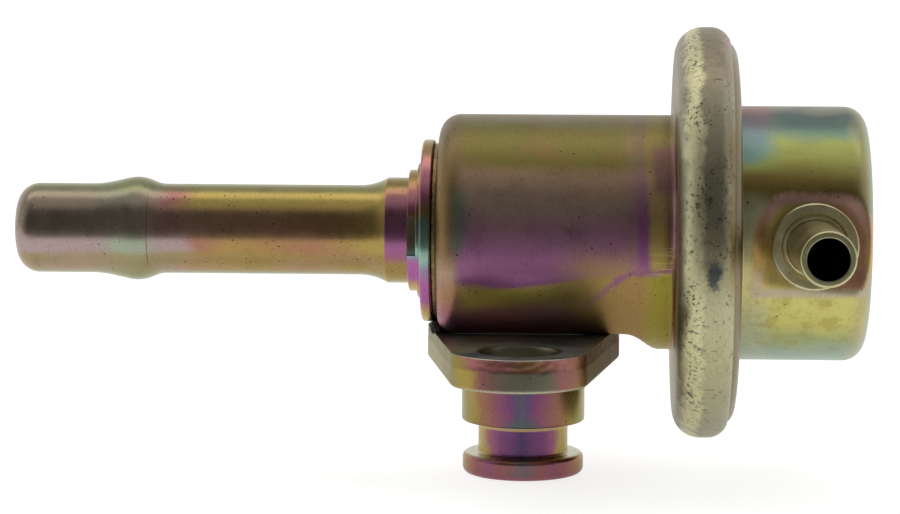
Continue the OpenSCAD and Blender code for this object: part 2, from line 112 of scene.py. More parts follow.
class REGULATOR_PG_shells(PropertyGroup):
    """Sizes of the two drawn shells."""

    axis_h: length("Axis height", 11.2, "Height of the main axis above the rail seat")
    sheet: length("Sheet", 0.95, "Thickness of the drawn steel sheet")
    body_d: length("Body diameter", 20.8, "Outside diameter of the body")
    body_back: length("Body back", 7.5, "From the inlet axis back to the closed end")
    body_front: length("Body front", 13.25, "From the inlet axis forward to the flared mouth")
    body_corner: length("Body corner", 1.9, "Radius round the closed end")
    body_root: length("Body root", 0.5, "Radius where the wall flares into the mouth")
    flat_front: length("Flat front", 9.7, "Where the pressed flat under the body ends")
    flat_soft: length("Flat softness", 0.3, "Depth over which a pressed flat runs into the round wall")
    heel_r: length("Heel radius", 1.3, "Radius where the pressed flat turns up into the closed end")
    rim_d: length("Rim diameter", 36.4, "Outside diameter of the rolled rim")
    rim_w: length("Rim width", 5.4, "From the flared mouth to the face of the cap's flange")
    rim_corner: length("Rim corner", 2.4, "Radius of the rim's corner on the body side")
    lip_r: length("Lip radius", 1.85, "Radius of the lip rolled over the cap")
    lip_turn: angle("Lip turn", 62, "Angle through which the lip is rolled")
    rim_fit: length("Rim room", 0.05, "Room between the cap's rim and the rolled lip")
    cap_d: length("Cap diameter", 22.5, "Outside diameter of the cap")
    cap_len: length("Cap length", 11.4, "Length of the cap beyond its flange")
    cap_corner: length("Cap corner", 1.9, "Radius round the closed end of the cap")
    cap_rim: length("Cap rim", 1.6, "Radius at the rim of the cap's flange")
    cap_flat: length("Cap flat", 10.5, "From the main axis to the flat pressed for the nipple")
    cap_flat_back: length("Cap flat start", 4.2, "From the nipple's axis back to where that flat starts")
    bead_t: length("Bead", 1.3, "Thickness of the membrane's bead in the rim")
    ripple: length("Sheet ripple", 0.012, "How far the drawn sheet strays from its true shape")
    segments: IntProperty(
        name="Segments", description="Faces round a turned piece", default=192, min=24, max=512
    )


class REGULATOR_PG_tubes(PropertyGroup):
    """Sizes of the tube work and of the stack on the closed end."""

    tube_d: length("Tube diameter", 8.0, "Outside diameter of the return tube")
    tube_wall: length("Tube wall", 1.0, "Wall of the return tube")
    tube_reach: length("Tube reach", 45.3, "From the inlet axis to the tip of the tube")
    tip_r: length("Tip radius", 1.9, "Radius of the rolled-in tip")
    bead_d: length("Bead diameter", 9.4, "Diameter over the hose bead")
    bead_reach: length("Bead reach", 34.3, "From the inlet axis to the crest of the bead")
    socket_d: length("Socket diameter", 9.4, "Diameter of the flared socket end")
    socket_from: length("Socket start", 12.1, "From the inlet axis to the start of the socket")
    flare: length("Flare", 1.35, "Length of the flare before the socket")
    neck_d: length("Neck diameter", 8.4, "Diameter of the neck that passes the closed end")
    lock_from: length("Lock ring start", 10.2, "From the inlet axis to the lock ring")
    lock_d: length("Lock ring diameter", 10.8, "Outside diameter of the lock ring")
    lock_base_d: length("Lock base diameter", 12.0, "Diameter of the lock ring's base lip")
    slot_w: length("Slot width", 3.5, "Width of each slot in the lock ring")
    slot_deep: length("Slot depth", 0.65, "Depth of each slot in the lock ring")
    slots: IntProperty(
        name="Slots", description="Number of slots in the lock ring", default=3, min=1, max=12
    )
    washer_d: length("Washer diameter", 16.2, "Outside diameter of the end washer")
    washer_from: length("Washer start", 9.0, "From the inlet axis to the end washer")
    seal_d: length("Seal diameter", 15.6, "Outside diameter of the seal washer")
    seal_from: length("Seal start", 7.95, "From the inlet axis to the seal washer")
    nipple_at: length("Nipple place", 24.5, "From the inlet axis to the nipple's foot on the main axis")
    nipple_lean: angle("Nipple lean", 2.5, "Lean of the nipple and its flat towards the cap's end")
    nipple_d: length("Nipple diameter", 4.7, "Outside diameter of the nipple")
    nipple_bore: length("Nipple bore", 3.5, "Bore of the nipple")
    nipple_reach: length("Nipple reach", 20.8, "From the main axis to the nipple's tip")
    collar_d: length("Collar diameter", 7.5, "Diameter of the nipple's collar")


class REGULATOR_PG_flange(PropertyGroup):
    """Sizes of the blanked plate and of the spigot below it."""

    thick: length("Plate thickness", 2.8, "Thickness of the blanked plate")
    bolt_spacing: length("Bolt spacing", 33.0, "Distance between the two bolt holes")
    bolt_hole: length("Bolt hole", 6.6, "Diameter of the bolt holes")
    end_m: length("End margin", 5.6, "From a bolt hole's centre to the end of the plate")
    end_r: length("End radius", 6.0, "Radius of the plate's blunt ends")
    corner_r: length("Corner radius", 5.3, "Radius of the corners beside those ends")
    mid_r: length("Middle radius", 8.55, "Radius of the plate's middle")
    taper: angle("Taper", 9.5, "Angle by which the plate's sides taper")
    die_roll: length("Die roll", 0.22, "Radius that blanking draws at the plate's lower edge")
    torn: length("Torn depth", 0.05, "Depth of the torn zone that blanking leaves on the edge")
    spigot_d: length("Spigot diameter", 11.0, "Diameter of the spigot's collar")
    shoulder_d: length("Shoulder diameter", 12.0, "Diameter of the shoulder that the plate is brazed to")
    neck_d: length("Neck diameter", 8.0, "Diameter of the neck that passes the body's wall")
    spigot_len: length("Spigot length", 5.75, "Length of the collar below the rail seat")
    groove_w: length("Groove width", 2.85, "Width of the ring groove")
    groove_d: length("Groove diameter", 8.0, "Diameter at the bottom of the groove")
    toe_d: length("Toe diameter", 10.8, "Diameter of the end flange below the groove")
    toe_t: length("Toe thickness", 1.9, "Thickness of that end flange")
    inlet_bore: length("Inlet bore", 5.5, "Bore of the spigot")


class REGULATOR_PG_valve(PropertyGroup):
    """Sizes of the membrane, the valve that hangs on it and the springs."""

    membrane_t: length("Membrane", 0.6, "Thickness of the rubber membrane")
    fold_in: length("Fold start", 9.3, "Radius at which the membrane's fold starts")
    fold_h: length("Fold height", 1.65, "Height of the membrane's fold, clear of the cap at full lift")
    bead_w: length("Bead width", 1.8, "Width of the membrane's bead in the rim")
    plate_d: length("Plate diameter", 16.8, "Diameter of the plate on the fuel side")
    plate_t: length("Plate thickness", 0.8, "Thickness of the plates that clamp the membrane")
    seat_d: length("Spring seat diameter", 17.6, "Diameter of the spring seat's rim")
    seat_h: length("Spring seat height", 1.45, "Height of the spring seat's rim above its floor")
    shank_d: length("Shank diameter", 5.2, "Diameter of the holder's shank")
    rivet_d: length("Rivet diameter", 7.2, "Diameter of the holder's riveted head")
    rivet_h: length("Rivet height", 1.25, "Height of the holder's riveted head")
    holder_d: length("Holder diameter", 8.4, "Diameter of the holder's flange")
    holder_t: length("Holder thickness", 0.65, "Thickness of the holder's flange")
    mouth_d: length("Mouth diameter", 5.8, "Diameter of the holder's mouth")
    mouth_h: length("Mouth depth", 1.15, "Depth of the holder's mouth below its flange")
    ball_d: length("Ball diameter", 3.0, "Diameter of the ball")
    dimple: length("Dimple", 0.3, "How deep the ball sits in the disc")
    disc_d: length("Disc diameter", 6.8, "Diameter of the valve disc")
    disc_t: length("Disc thickness", 0.9, "Thickness of the valve disc")
    disc_gap: length("Disc gap", 0.4, "Gap between the disc and the holder's mouth")
    retainer_d: length("Retainer diameter", 4.6, "Diameter of the ball's retaining ring")
    retainer_t: length("Retainer thickness", 0.4, "Thickness of the ball's retaining ring")
    spring_d: length("Spring diameter", 13.8, "Mean diameter of the main spring")
    spring_wire: length("Spring wire", 1.8, "Wire of the main spring")
    spring_turns: FloatProperty(name="Spring turns", description="Turns of the main spring", default=5.5)
    ball_spring_d: length("Ball spring diameter", 2.1, "Mean diameter of the ball's spring")
    ball_wire: length("Ball spring wire", 0.3, "Wire of the ball's spring")
    ball_turns: FloatProperty(name="Ball turns", description="Turns of the ball's spring", default=4.5)


class REGULATOR_PG_finish(PropertyGroup):
    """Colours of the yellow-passivated zinc, from its thinnest film to its thickest, and of the rest."""

    silver: tint("Silver", "#c3c0a4", "Zinc with hardly any film left on it")
    straw: tint("Straw", "#d2c677", "Pale yellow film")
    gold: tint("Gold", "#ae9755", "Yellow film")
    bronze: tint("Bronze", "#a98458", "Brownish film")
    rose: tint("Rose", "#a8706c", "Reddish film")
    magenta: tint("Magenta", "#9d5f90", "Purple film")
    violet: tint("Violet", "#7a5f92", "Violet film")
    slate: tint("Slate", "#74808c", "Blue-grey film")
    teal: tint("Teal", "#8faf9f", "Green-blue film")
    lime: tint("Lime", "#a3ad62", "Yellow-green film")
    acid: tint("Acid", "#a6a134", "Strong greenish yellow film")
    # Dark specks and stains, also laid as painted shade in the nipple's bore and under the heel's braze.
    grime_and_shade: tint("Grime", "#2b241c", "Dark specks and oil stains")
    steel: tint("Steel", "#b4b2ad", "Bare turned steel")
    wire: tint("Wire", "#8d8c8a", "Drawn spring wire")
    rubber: tint("Rubber", "#232323", "Rubber of the membrane")


class REGULATOR_PG_stage(PropertyGroup):
    """Floor, light and camera."""

    floor_z: shift("Floor", -10.56, "Height of the floor")
    floor: tint("Floor colour", "#f2f2f2", "Colour of the floor")
    floor_front: length("Floor front", 60.0, "From the main axis to the floor's front edge")
    soft_box: FloatProperty(
        name="Soft box", description="Power of the soft box overhead", default=0.34, unit="POWER"
    )
    elevation: angle("Camera elevation", 6.504, "How far the camera looks down")
    azimuth: angle("Camera azimuth", 2.721, "How far the camera stands to the cap's side")
    roll: angle("Camera roll", 0.17, "How far the camera leans")
    distance: length("Camera distance", 265.99, "From the camera to the plane of the inlet axis")
    aside: shift("Camera aside", -6.573, "Shift of the camera to its right")
    above: shift("Camera above", 8.815, "Shift of the camera upwards")
    lens: FloatProperty(
        name="Lens", description="Focal length in millimetres", default=36 * 2971.304 / 900
    )


# Outlines: lists of (radius, place along the axis[, corner radius]), in metres


def arc(centre, radius, start, end, step=math.radians(5)):
    count = max(2, math.ceil(abs(end - start) / step))
    angles = [start + (end - start) * k / count for k in range(count + 1)]
    return [(centre[0] + radius * math.cos(a), centre[1] + radius * math.sin(a)) for a in angles]


def turn_at(a, p, b):
    """Angle and directions of the bend at p."""
    d, e = (Vector(p[:2]) - Vector(a[:2])).normalized(), (Vector(b[:2]) - Vector(p[:2])).normalized()
    return math.atan2(d.x * e.y - d.y * e.x, d.dot(e)), d


def corner(a, p, b):
    """The corner p between a and b, rounded with its own radius."""
    radius = p[2] if len(p) > 2 else 0.0
    turn, d = turn_at(a, p, b)
    if radius <= 0 or abs(turn) < 1e-3:
        return [tuple(p[:2])]
    side = Vector((-d.y, d.x)) * math.copysign(1, turn)
    centre = Vector(p[:2]) - d * radius * math.tan(abs(turn) / 2) + side * radius
    start = math.atan2(-side.y, -side.x)
    return arc(centre, radius, start, start + turn)


def rounded(path, closed):
    """The path with its corners rounded; an open path keeps its two ends."""
    count, out = len(path), []
    for i, p in enumerate(path):
        if not closed and i in (0, count - 1):
            out.append(tuple(p[:2]))
        else:
            out += corner(path[i - 1], p, path[(i + 1) % count])
    return out


def moved(path, wall):
    """An open path moved to its left by a wall, with the corner radii that keep the wall even."""
    out, last = [], len(path) - 1
    for i, p in enumerate(path):
        here = Vector(p[:2])
        if 0 < i < last:
            turn, d = turn_at(path[i - 1], p, path[i + 1])
        else:
            a, b = (path[0], path[1]) if i == 0 else (path[i - 1], p)
            turn, d = 0.0, (Vector(b[:2]) - Vector(a[:2])).normalized()
        here += Vector((-d.y, d.x)) * wall - d * wall * math.tan(turn / 2)
        radius = (p[2] if len(p) > 2 else 0.0) - math.copysign(wall, turn) * (abs(turn) > 1e-6)
        out.append((here.x, here.y, max(0.0, radius)))
    return out


def refined(points, closed, longest):
    """The same outline with no step longer than asked."""
    out, count = [], len(points)
    for i in range(count if closed else count - 1):
        a, b = Vector(points[i]), Vector(points[(i + 1) % count])
        parts = max(1, math.ceil((b - a).length / longest))
        out += [tuple(a.lerp(b, k / parts)) for k in range(parts)]
    return out if closed else out + [points[-1]]


# Geometry node trees


def feed(tree, node, values):
    """Sets or links a node's inputs; a colour gets its alpha."""
    for key, value in values.items():
        socket = node.inputs[key]
        if isinstance(value, bpy.types.NodeSocket):
            tree.links.new(value, socket)
        elif socket.type == "RGBA":
            socket.default_value = (*value[:3], 1.0)
        else:
            socket.default_value = value


def add(tree, kind, values=None, **settings):
    """Adds a node with its options and its inputs."""
    made = tree.nodes.new(kind)
    for name, value in settings.items():
        setattr(made, name, value)
    feed(tree, made, values or {})
    return made


def worked_out(tree, known, rows):
    """Adds to the known values what rows work out: a name, what is done, and known names or numbers."""
    for name, act, *terms in rows:
        values = {i: known.get(term, term) for i, term in enumerate(terms)}
        if act == "SMOOTHSTEP":
            made = add(tree, "ShaderNodeMapRange", values, interpolation_type=act)
        else:
            made = add(tree, "ShaderNodeMath", values, operation=act)
        known[name] = made.outputs[0]
    return known


def new_tree(name, **inputs):
    """A geometry tree with those inputs and a material; returns it with its input sockets."""
    tree = bpy.data.node_groups.new(name, "GeometryNodeTree")
    for label, kind in (*inputs.items(), ("Material", "Material")):
        tree.interface.new_socket(label, in_out="INPUT", socket_type="NodeSocket" + kind)
    tree.interface.new_socket("Mesh", in_out="OUTPUT", socket_type="NodeSocketGeometry")
    return tree, tree.nodes.new("NodeGroupInput").outputs


def close_tree(tree, given, mesh):
    """Ends a tree with its mesh, dressed in its material."""
    real = add(tree, "GeometryNodeRealizeInstances", {"Geometry": mesh})
    values = {"Geometry": real.outputs[0], "Material": given["Material"]}
    dressed = add(tree, "GeometryNodeSetMaterial", values)
    add(tree, "NodeGroupOutput", {0: dressed.outputs[0]})
    return tree


def close_cut(tree, given, mesh, cutter):
    """Ends a tree with a mesh that a cutter, turned and placed as told, is taken out of."""
    values = {"Geometry": cutter, "Rotation": given["Turn"], "Translation": given["Place"]}
    placed = add(tree, "GeometryNodeTransform", values)
    values = {"Mesh 1": mesh, "Mesh 2": placed.outputs[0]}
    cut = add(tree, "GeometryNodeMeshBoolean", values, operation="DIFFERENCE", solver="EXACT")
    return close_tree(tree, given, cut.outputs["Mesh"])


def turned_tree(name):
    """Turns an outline round an axis: the outline is swept along a small circle."""
    tree, given = new_tree(
        name, Outline="Geometry", Segments="Int", Hub="Float", Turn="Rotation", Place="Vector"
    )
    outline = add(tree, "GeometryNodeMeshToCurve", {"Mesh": given["Outline"]})
    values = {"Resolution": given["Segments"], "Radius": given["Hub"]}
    hub = add(tree, "GeometryNodeCurvePrimitiveCircle", values, mode="RADIUS")
    values = {"Curve": hub.outputs["Curve"], "Profile Curve": outline.outputs["Curve"]}
    swept = add(tree, "GeometryNodeCurveToMesh", values)
    values = {"Geometry": swept.outputs["Mesh"], "Distance": 1e-6}
    whole = add(tree, "GeometryNodeMergeByDistance", values)
    values = {"Geometry": whole.outputs[0], "Rotation": given["Turn"], "Translation": given["Place"]}
    placed = add(tree, "GeometryNodeTransform", values)
    return close_tree(tree, given, placed.outputs[0])


def slotted_tree(name):
    """Cuts evenly spaced flat slots into the edge of a ring on the main axis."""
    tree, given = new_tree(
        name, Ring="Geometry", Slots="Int", Reach="Float", Cutter="Vector", Turn="Rotation", Place="Vector"
    )
    values = {"Vertices": given["Slots"], "Radius": given["Reach"]}
    spots = add(tree, "GeometryNodeMeshCircle", values, fill_type="NONE")
    cutter = add(tree, "GeometryNodeMeshCube", {"Size": given["Cutter"]})
    here = add(tree, "GeometryNodeInputPosition")
    facing = add(tree, "FunctionNodeAlignRotationToVector", {"Vector": here.outputs[0]}, axis="X")
    values = {"Points": spots.outputs["Mesh"], "Instance": cutter.outputs["Mesh"]}
    values["Rotation"] = facing.outputs[0]
    cutters = add(tree, "GeometryNodeInstanceOnPoints", values)
    real = add(tree, "GeometryNodeRealizeInstances", {"Geometry": cutters.outputs[0]})
    return close_cut(tree, given, given["Ring"], real.outputs[0])


def pierced_tree(name):
    """Drills a round hole through a shell."""
    tree, given = new_tree(
        name, Shell="Geometry", Radius="Float", Depth="Float", Turn="Rotation", Place="Vector"
    )
    values = {"Vertices": ROUND, "Radius": given["Radius"], "Depth": given["Depth"]}
    drill = add(tree, "GeometryNodeMeshCylinder", values, fill_type="NGON")
    return close_cut(tree, given, given["Shell"], drill.outputs["Mesh"])


def coil_tree(name):
    """A coil spring along the main axis with closed ends, ground flat at both."""
    tree, given = new_tree(
        name, Seed="Geometry", Radius="Float", Wire="Float", Height="Float", Turns="Float", Sunk="Float",
        Steps="Int", Sides="Int", Place="Vector",
    )
    here = add(tree, "ShaderNodeSeparateXYZ", {0: add(tree, "GeometryNodeInputPosition").outputs[0]})
    index = add(tree, "GeometryNodeInputIndex").outputs[0]
    known = worked_out(tree, dict(given.items()) | {"index": index, "along": here.outputs[0]}, [
        ("last_step", "SUBTRACT", "Steps", 1.0),
        ("share", "DIVIDE", "index", "last_step"),
        ("turn", "MULTIPLY", "share", "Turns"),
        # The first and the last turn lie closed, the rest share the free height
        ("closed", "MULTIPLY", "Wire", 1.03),
        ("inner", "SUBTRACT", "Turns", 2.0),
        ("proud", "SUBTRACT", 0.5, "Sunk"),
        ("lift", "MULTIPLY", "Wire", "proud"),
        ("lifts", "MULTIPLY", "lift", 2.0),
        ("ends", "MULTIPLY", "closed", 2.0),
        ("inside", "SUBTRACT", "Height", "lifts"),
        ("free", "SUBTRACT", "inside", "ends"),
        ("rise", "DIVIDE", "free", "inner"),
        ("at_first", "MINIMUM", "turn", 1.0),
        ("first", "MULTIPLY_ADD", "closed", "at_first", "lift"),
        ("after", "SUBTRACT", "turn", 1.0),
        ("at_middle", "MINIMUM", "after", "inner"),
        ("middle", "MAXIMUM", "at_middle", 0.0),
        ("last_from", "ADD", "inner", 1.0),
        ("at_last", "SUBTRACT", "turn", "last_from"),
        ("last", "MAXIMUM", "at_last", 0.0),
        ("climb", "MULTIPLY_ADD", "rise", "middle", "first"),
        ("height", "MULTIPLY_ADD", "closed", "last", "climb"),
        ("angle", "MULTIPLY", "turn", math.tau),
        ("sine", "SINE", "angle"),
        ("aside", "MULTIPLY", "Radius", "sine"),
        ("cosine", "COSINE", "angle"),
        ("down", "MULTIPLY", "cosine", -1.0),
        ("up", "MULTIPLY", "Radius", "down"),
        ("wire_radius", "MULTIPLY", "Wire", 0.5),
        # What stands past the ends is ground off
        ("below_end", "MINIMUM", "along", "Height"),
        ("ground", "MAXIMUM", "below_end", 0.0),
    ])
    line = add(tree, "GeometryNodeMeshLine", {"Count": given["Steps"]}, mode="OFFSET")
    spot = add(tree, "ShaderNodeCombineXYZ", {0: known["height"], 1: known["aside"], 2: known["up"]})
    values = {"Geometry": line.outputs["Mesh"], "Position": spot.outputs[0]}
    helix = add(tree, "GeometryNodeSetPosition", values)
    path = add(tree, "GeometryNodeMeshToCurve", {"Mesh": helix.outputs[0]})
    values = {"Resolution": given["Sides"], "Radius": known["wire_radius"]}
    section = add(tree, "GeometryNodeCurvePrimitiveCircle", values, mode="RADIUS")
    values = {"Curve": path.outputs["Curve"], "Profile Curve": section.outputs["Curve"], "Fill Caps": True}
    wire = add(tree, "GeometryNodeCurveToMesh", values)
    values = {0: known["ground"], 1: here.outputs[1], 2: here.outputs[2]}
    flat = add(tree, "ShaderNodeCombineXYZ", values)
    values = {"Geometry": wire.outputs["Mesh"], "Position": flat.outputs[0]}
    ends = add(tree, "GeometryNodeSetPosition", values)
    values = {"Geometry": ends.outputs[0], "Translation": given["Place"]}
    placed = add(tree, "GeometryNodeTransform", values)
    return close_tree(tree, given, placed.outputs[0])


def run_tree(context, name, maker, base, values):
    """Runs a tree, made at its first use, on a base mesh and returns the result as a plain mesh."""
    tree = bpy.data.node_groups.get(name) or maker(name)
    carrier = bpy.data.objects.new("carrier", base)
    context.scene.collection.objects.link(carrier)
    modifier = carrier.modifiers.new("Shape", "NODES")
    modifier.node_group = tree
    sockets = {
        item.name: item.identifier
        for item in tree.interface.items_tree
        if item.item_type == "SOCKET" and item.in_out == "INPUT"
    }
    for name, value in values.items():
        modifier[sockets[name]] = value
    graph = context.evaluated_depsgraph_get()
    mesh = bpy.data.meshes.new_from_object(carrier.evaluated_get(graph), depsgraph=graph)
    carrier.modifiers.remove(modifier)
    bpy.data.objects.remove(carrier)
    bpy.data.meshes.remove(base)
    if not mesh.polygons:
        raise RuntimeError("the tree " + name + " made no faces")
    return mesh


def turned(context, outline, material, closed=True, turn=(0.0, math.pi / 2, 0.0), place=None):
    """A wall turned from an outline of (radius, place) points; by default round the main axis."""
    shells = context.scene.regulator_shells
    count = len(outline)
    base = bpy.data.meshes.new("outline")
    links = [(i, (i + 1) % count) for i in range(count if closed else count - 1)]
    base.from_pydata([(r - HUB, -x, 0.0) for r, x in outline], links, [])
    values = {
        "Segments": shells.segments,
        "Hub": HUB,
        "Turn": turn,
        "Place": place or (0.0, 0.0, shells.axis_h),
        "Material": material,
    }
    return run_tree(context, "Turned wall", turned_tree, base, values)


def pierced(context, mesh, radius, turn, place):
    """The shell with a round hole of that radius at that place."""
    values = {"Radius": radius, "Depth": 4 * MM, "Turn": turn, "Place": place}
    values["Material"] = mesh.materials[0]
    return run_tree(context, "Pierced shell", pierced_tree, mesh, values)


# Finishing a piece


def shaped(mesh, change):
    """Moves every point of a mesh to where change() puts it."""
    for v in mesh.vertices:
        v.co = change(v.co)
    mesh.update()
    return mesh


def smooth_max(a, b, soft):
    """The larger of two values, with a soft change from one to the other."""
    h = max(soft - abs(a - b), 0.0) / soft
    return max(a, b) + h * h * soft / 4


def rippled(mesh, amount, size, seed):
    """Lets a drawn sheet sink a little from its true shape."""
    cleaned(mesh)
    normals = [v.normal.copy() for v in mesh.vertices]
    shift = Vector((seed * 7.31, seed * 3.17, seed * 5.93))
    for v, n in zip(mesh.vertices, normals):
        v.co -= n * amount * (1 + noise.noise(v.co / size + shift)) / 2
    mesh.update()
    return mesh


def cleaned(mesh):
    """Merges doubles, drops faces without area and turns the faces outwards."""
    bm = bmesh.new()
    bm.from_mesh(mesh)
    bmesh.ops.remove_doubles(bm, verts=bm.verts[:], dist=2e-6)
    bmesh.ops.dissolve_degenerate(bm, edges=bm.edges[:], dist=1e-6)
    bmesh.ops.recalc_face_normals(bm, faces=bm.faces[:])
    if bm.calc_volume(signed=True) < 0:
        bmesh.ops.reverse_faces(bm, faces=bm.faces[:])
    bm.to_mesh(mesh)
    bm.free()
    mesh.update()
    return mesh


def as_piece(context, name, mesh, node, body, sharp=32.0):
    """Makes a mesh a finished piece that stands for a CAD node and rides on a body, where one is given."""
    cleaned(mesh).name = name
    for polygon in mesh.polygons:
        polygon.use_smooth = True
    mesh.set_sharp_from_angle(angle=math.radians(sharp))
    piece = bpy.data.objects.new(name, mesh)
    context.scene.collection.objects.link(piece)
    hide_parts(node)
    if body:
        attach(piece, body)
    return piece


# Materials: colours come from the finish group, places are in millimetres, patterns have real sizes


class Coat:
    """A material's node tree, with the few ways in which its finish is laid on."""

    def __init__(self, name, origin=(0.0, 0.0, 0.0)):
        self.material = bpy.data.materials.new(name)
        self.material.use_nodes = True
        self.tree = self.material.node_tree
        self.shader = self.tree.nodes["Principled BSDF"]
        self.at = add(self.tree, "ShaderNodeTexCoord").outputs["Object"]
        self.x, self.y, self.z = self.axes(origin)

    def axes(self, origin, lean=0.0):
        """Places in millimetres from an origin, along axes that lean about the vertical."""
        values = {"Vector": self.at, "Center": origin, "Angle": -lean}
        level = add(self.tree, "ShaderNodeVectorRotate", values, rotation_type="Z_AXIS")
        values = {0: level.outputs[0], 1: origin}
        near = add(self.tree, "ShaderNodeVectorMath", values, operation="SUBTRACT")
        values = {0: near.outputs[0], "Scale": 1 / MM}
        in_mm = add(self.tree, "ShaderNodeVectorMath", values, operation="SCALE")
        return tuple(add(self.tree, "ShaderNodeSeparateXYZ", {0: in_mm.outputs[0]}).outputs)

    def apart(self, value, place):
        """How far a value lies from a place, to either side."""
        off = add(self.tree, "ShaderNodeMath", {0: value, 1: place}, operation="SUBTRACT").outputs[0]
        return add(self.tree, "ShaderNodeMath", {0: off}, operation="ABSOLUTE").outputs[0]

    def reach(self, a, b):
        """Distance from an axis, from the two places across it."""
        spot = add(self.tree, "ShaderNodeCombineXYZ", {0: a, 1: b}).outputs[0]
        return add(self.tree, "ShaderNodeVectorMath", {0: spot}, operation="LENGTH").outputs["Value"]

    def cloud(self, mm, detail=3.0, rough=0.55, stretch=(1.0, 1.0, 1.0), shift=(0.0, 0.0, 0.0)):
        """Noise with features of about that size, stretched along the axes."""
        values = {"Vector": self.at, "Location": shift, "Scale": tuple(1 / s for s in stretch)}
        mapped = add(self.tree, "ShaderNodeMapping", values)
        values = {"Vector": mapped.outputs[0], "Scale": per(mm), "Detail": detail, "Roughness": rough}
        return add(self.tree, "ShaderNodeTexNoise", values).outputs["Fac"]

    def swayed(self, value, cloud, amount):
        """A value that a cloud pushes to and fro by up to that amount."""
        push = add(self.tree, "ShaderNodeMapRange", {0: cloud, 1: 0.2, 2: 0.8, 3: -amount, 4: amount})
        values = {0: value, 1: push.outputs[0]}
        return add(self.tree, "ShaderNodeMath", values, operation="ADD").outputs[0]

    def share(self, *limits):
        """How far a place lies inside a zone: each limit is a value, where the zone starts and where
        it is full, and may end with the shares at those two."""
        whole = 1.0
        for value, start, full, *ends in limits:
            low, high = ends or (0.0, 1.0)
            part = add(self.tree, "ShaderNodeMapRange", {0: value, 1: start, 2: full, 3: low, 4: high})
            values = {0: whole, 1: part.outputs[0]}
            whole = add(self.tree, "ShaderNodeMath", values, operation="MULTIPLY").outputs[0]
        return whole

    def bands(self, value, low, high, stops):
        """Film colours that follow one another along a value, as (share of the way, colour)."""
        way = add(self.tree, "ShaderNodeMapRange", {0: value, 1: low, 2: high})
        made = add(self.tree, "ShaderNodeValToRGB", {0: way.outputs[0]})
        band = made.color_ramp
        while len(band.elements) < len(stops):
            band.elements.new(0.5)
        for element, (place, colour) in zip(band.elements, stops):
            element.position = place
            element.color = (*colour, 1.0)
        return made.outputs["Color"]

    def paint(self, film, colour, strength, *limits):
        """A film with another colour or film laid over it inside a zone, at that strength."""
        values = {0: self.share(*limits), 1: strength}
        cover = add(self.tree, "ShaderNodeMath", values, operation="MULTIPLY").outputs[0]
        values = {0: cover, 6: film, 7: colour}
        return add(self.tree, "ShaderNodeMix", values, data_type="RGBA").outputs[2]

    def specks(self, mm, part, small, large):
        """Small spots of those radii in part of the cells of that size: 1 inside a spot."""
        cell = add(self.tree, "ShaderNodeTexVoronoi", {"Vector": self.at, "Scale": per(mm)})
        lot = add(self.tree, "ShaderNodeSeparateColor", {0: cell.outputs["Color"]}).outputs[0]
        size = self.share((lot, 1 - part, 1.0, small / mm, large / mm))
        values = {0: size, 1: cell.outputs["Distance"]}
        inside = add(self.tree, "ShaderNodeMath", values, operation="GREATER_THAN").outputs[0]
        values = {0: lot, 1: 1 - part}
        chosen = add(self.tree, "ShaderNodeMath", values, operation="GREATER_THAN").outputs[0]
        return self.share((inside, 0.0, 1.0), (chosen, 0.0, 1.0))

    def done(self, relief, metallic=1.0, **inputs):
        """Feeds the shader; the surface is raised by each (height, mm, strength) in turn."""
        normal = None
        for height, mm, strength in relief:
            values = {"Height": height, "Distance": mm * MM, "Strength": strength}
            if normal is not None:
                values["Normal"] = normal
            normal = add(self.tree, "ShaderNodeBump", values).outputs[0]
        inputs |= {"normal": normal, "metallic": metallic}
        feed(self.tree, self.shader, {name.replace("_", " ").title(): v for name, v in inputs.items()})
        return self.material


def per(mm):
    """Texture scale for a pattern of that size."""
    return 1 / (mm * MM)


def main_axis():
    return (0.0, 0.0, bpy.context.scene.regulator_shells.axis_h)


def dimmed(colour, share):
    return tuple(c * share for c in colour)


def between(a, b, share=0.5):
    return tuple(p + (q - p) * share for p, q in zip(a, b))


def plated(coat, film, rough=0.27, grain=0.18, speck=0.3, speck_mm=0.55, lay=(1.0, 1.0, 1.0), **inputs):
    """The grain, specks and uneven gloss that every zinc-plated piece shares."""
    stain = coat.cloud(2.4, 4.0, 0.65, shift=(0.031, 0.0, 0.012))
    fine = coat.cloud(grain, 3.0, 0.6, lay)
    dots = coat.specks(speck_mm, speck, 0.04, 0.09)
    spots = coat.share((dots, 0.0, 1.0), (coat.cloud(5.0, 1.0, 0.5), 0.35, 0.55))
    mottle = coat.swayed(coat.share((stain, 0.0, 1.0, 0.275, 0.725)), fine, 0.165)
    greys = [(0.3, (0.7, 0.69, 0.67)), (0.5, (0.95, 0.95, 0.95)), (0.68, (1.0, 1.0, 1.0))]
    shade = coat.bands(mottle, 0.0, 1.0, greys)
    values = {0: 1.0, 6: film, 7: shade}
    toned = add(coat.tree, "ShaderNodeMix", values, data_type="RGBA", blend_type="MULTIPLY").outputs[2]
    toned = coat.paint(toned, bpy.context.scene.regulator_finish.grime_and_shade, 0.85, (spots, 0.0, 1.0))
    gloss = coat.share((stain, 0.3, 0.7, rough - 0.04, rough + 0.06), (spots, 0.0, 1.0, 1.0, 1.6))
    relief = [(fine, 0.006, 0.35), (stain, 0.02, 0.3)]
    return coat.done(relief, base_color=toned, roughness=gloss, **inputs)


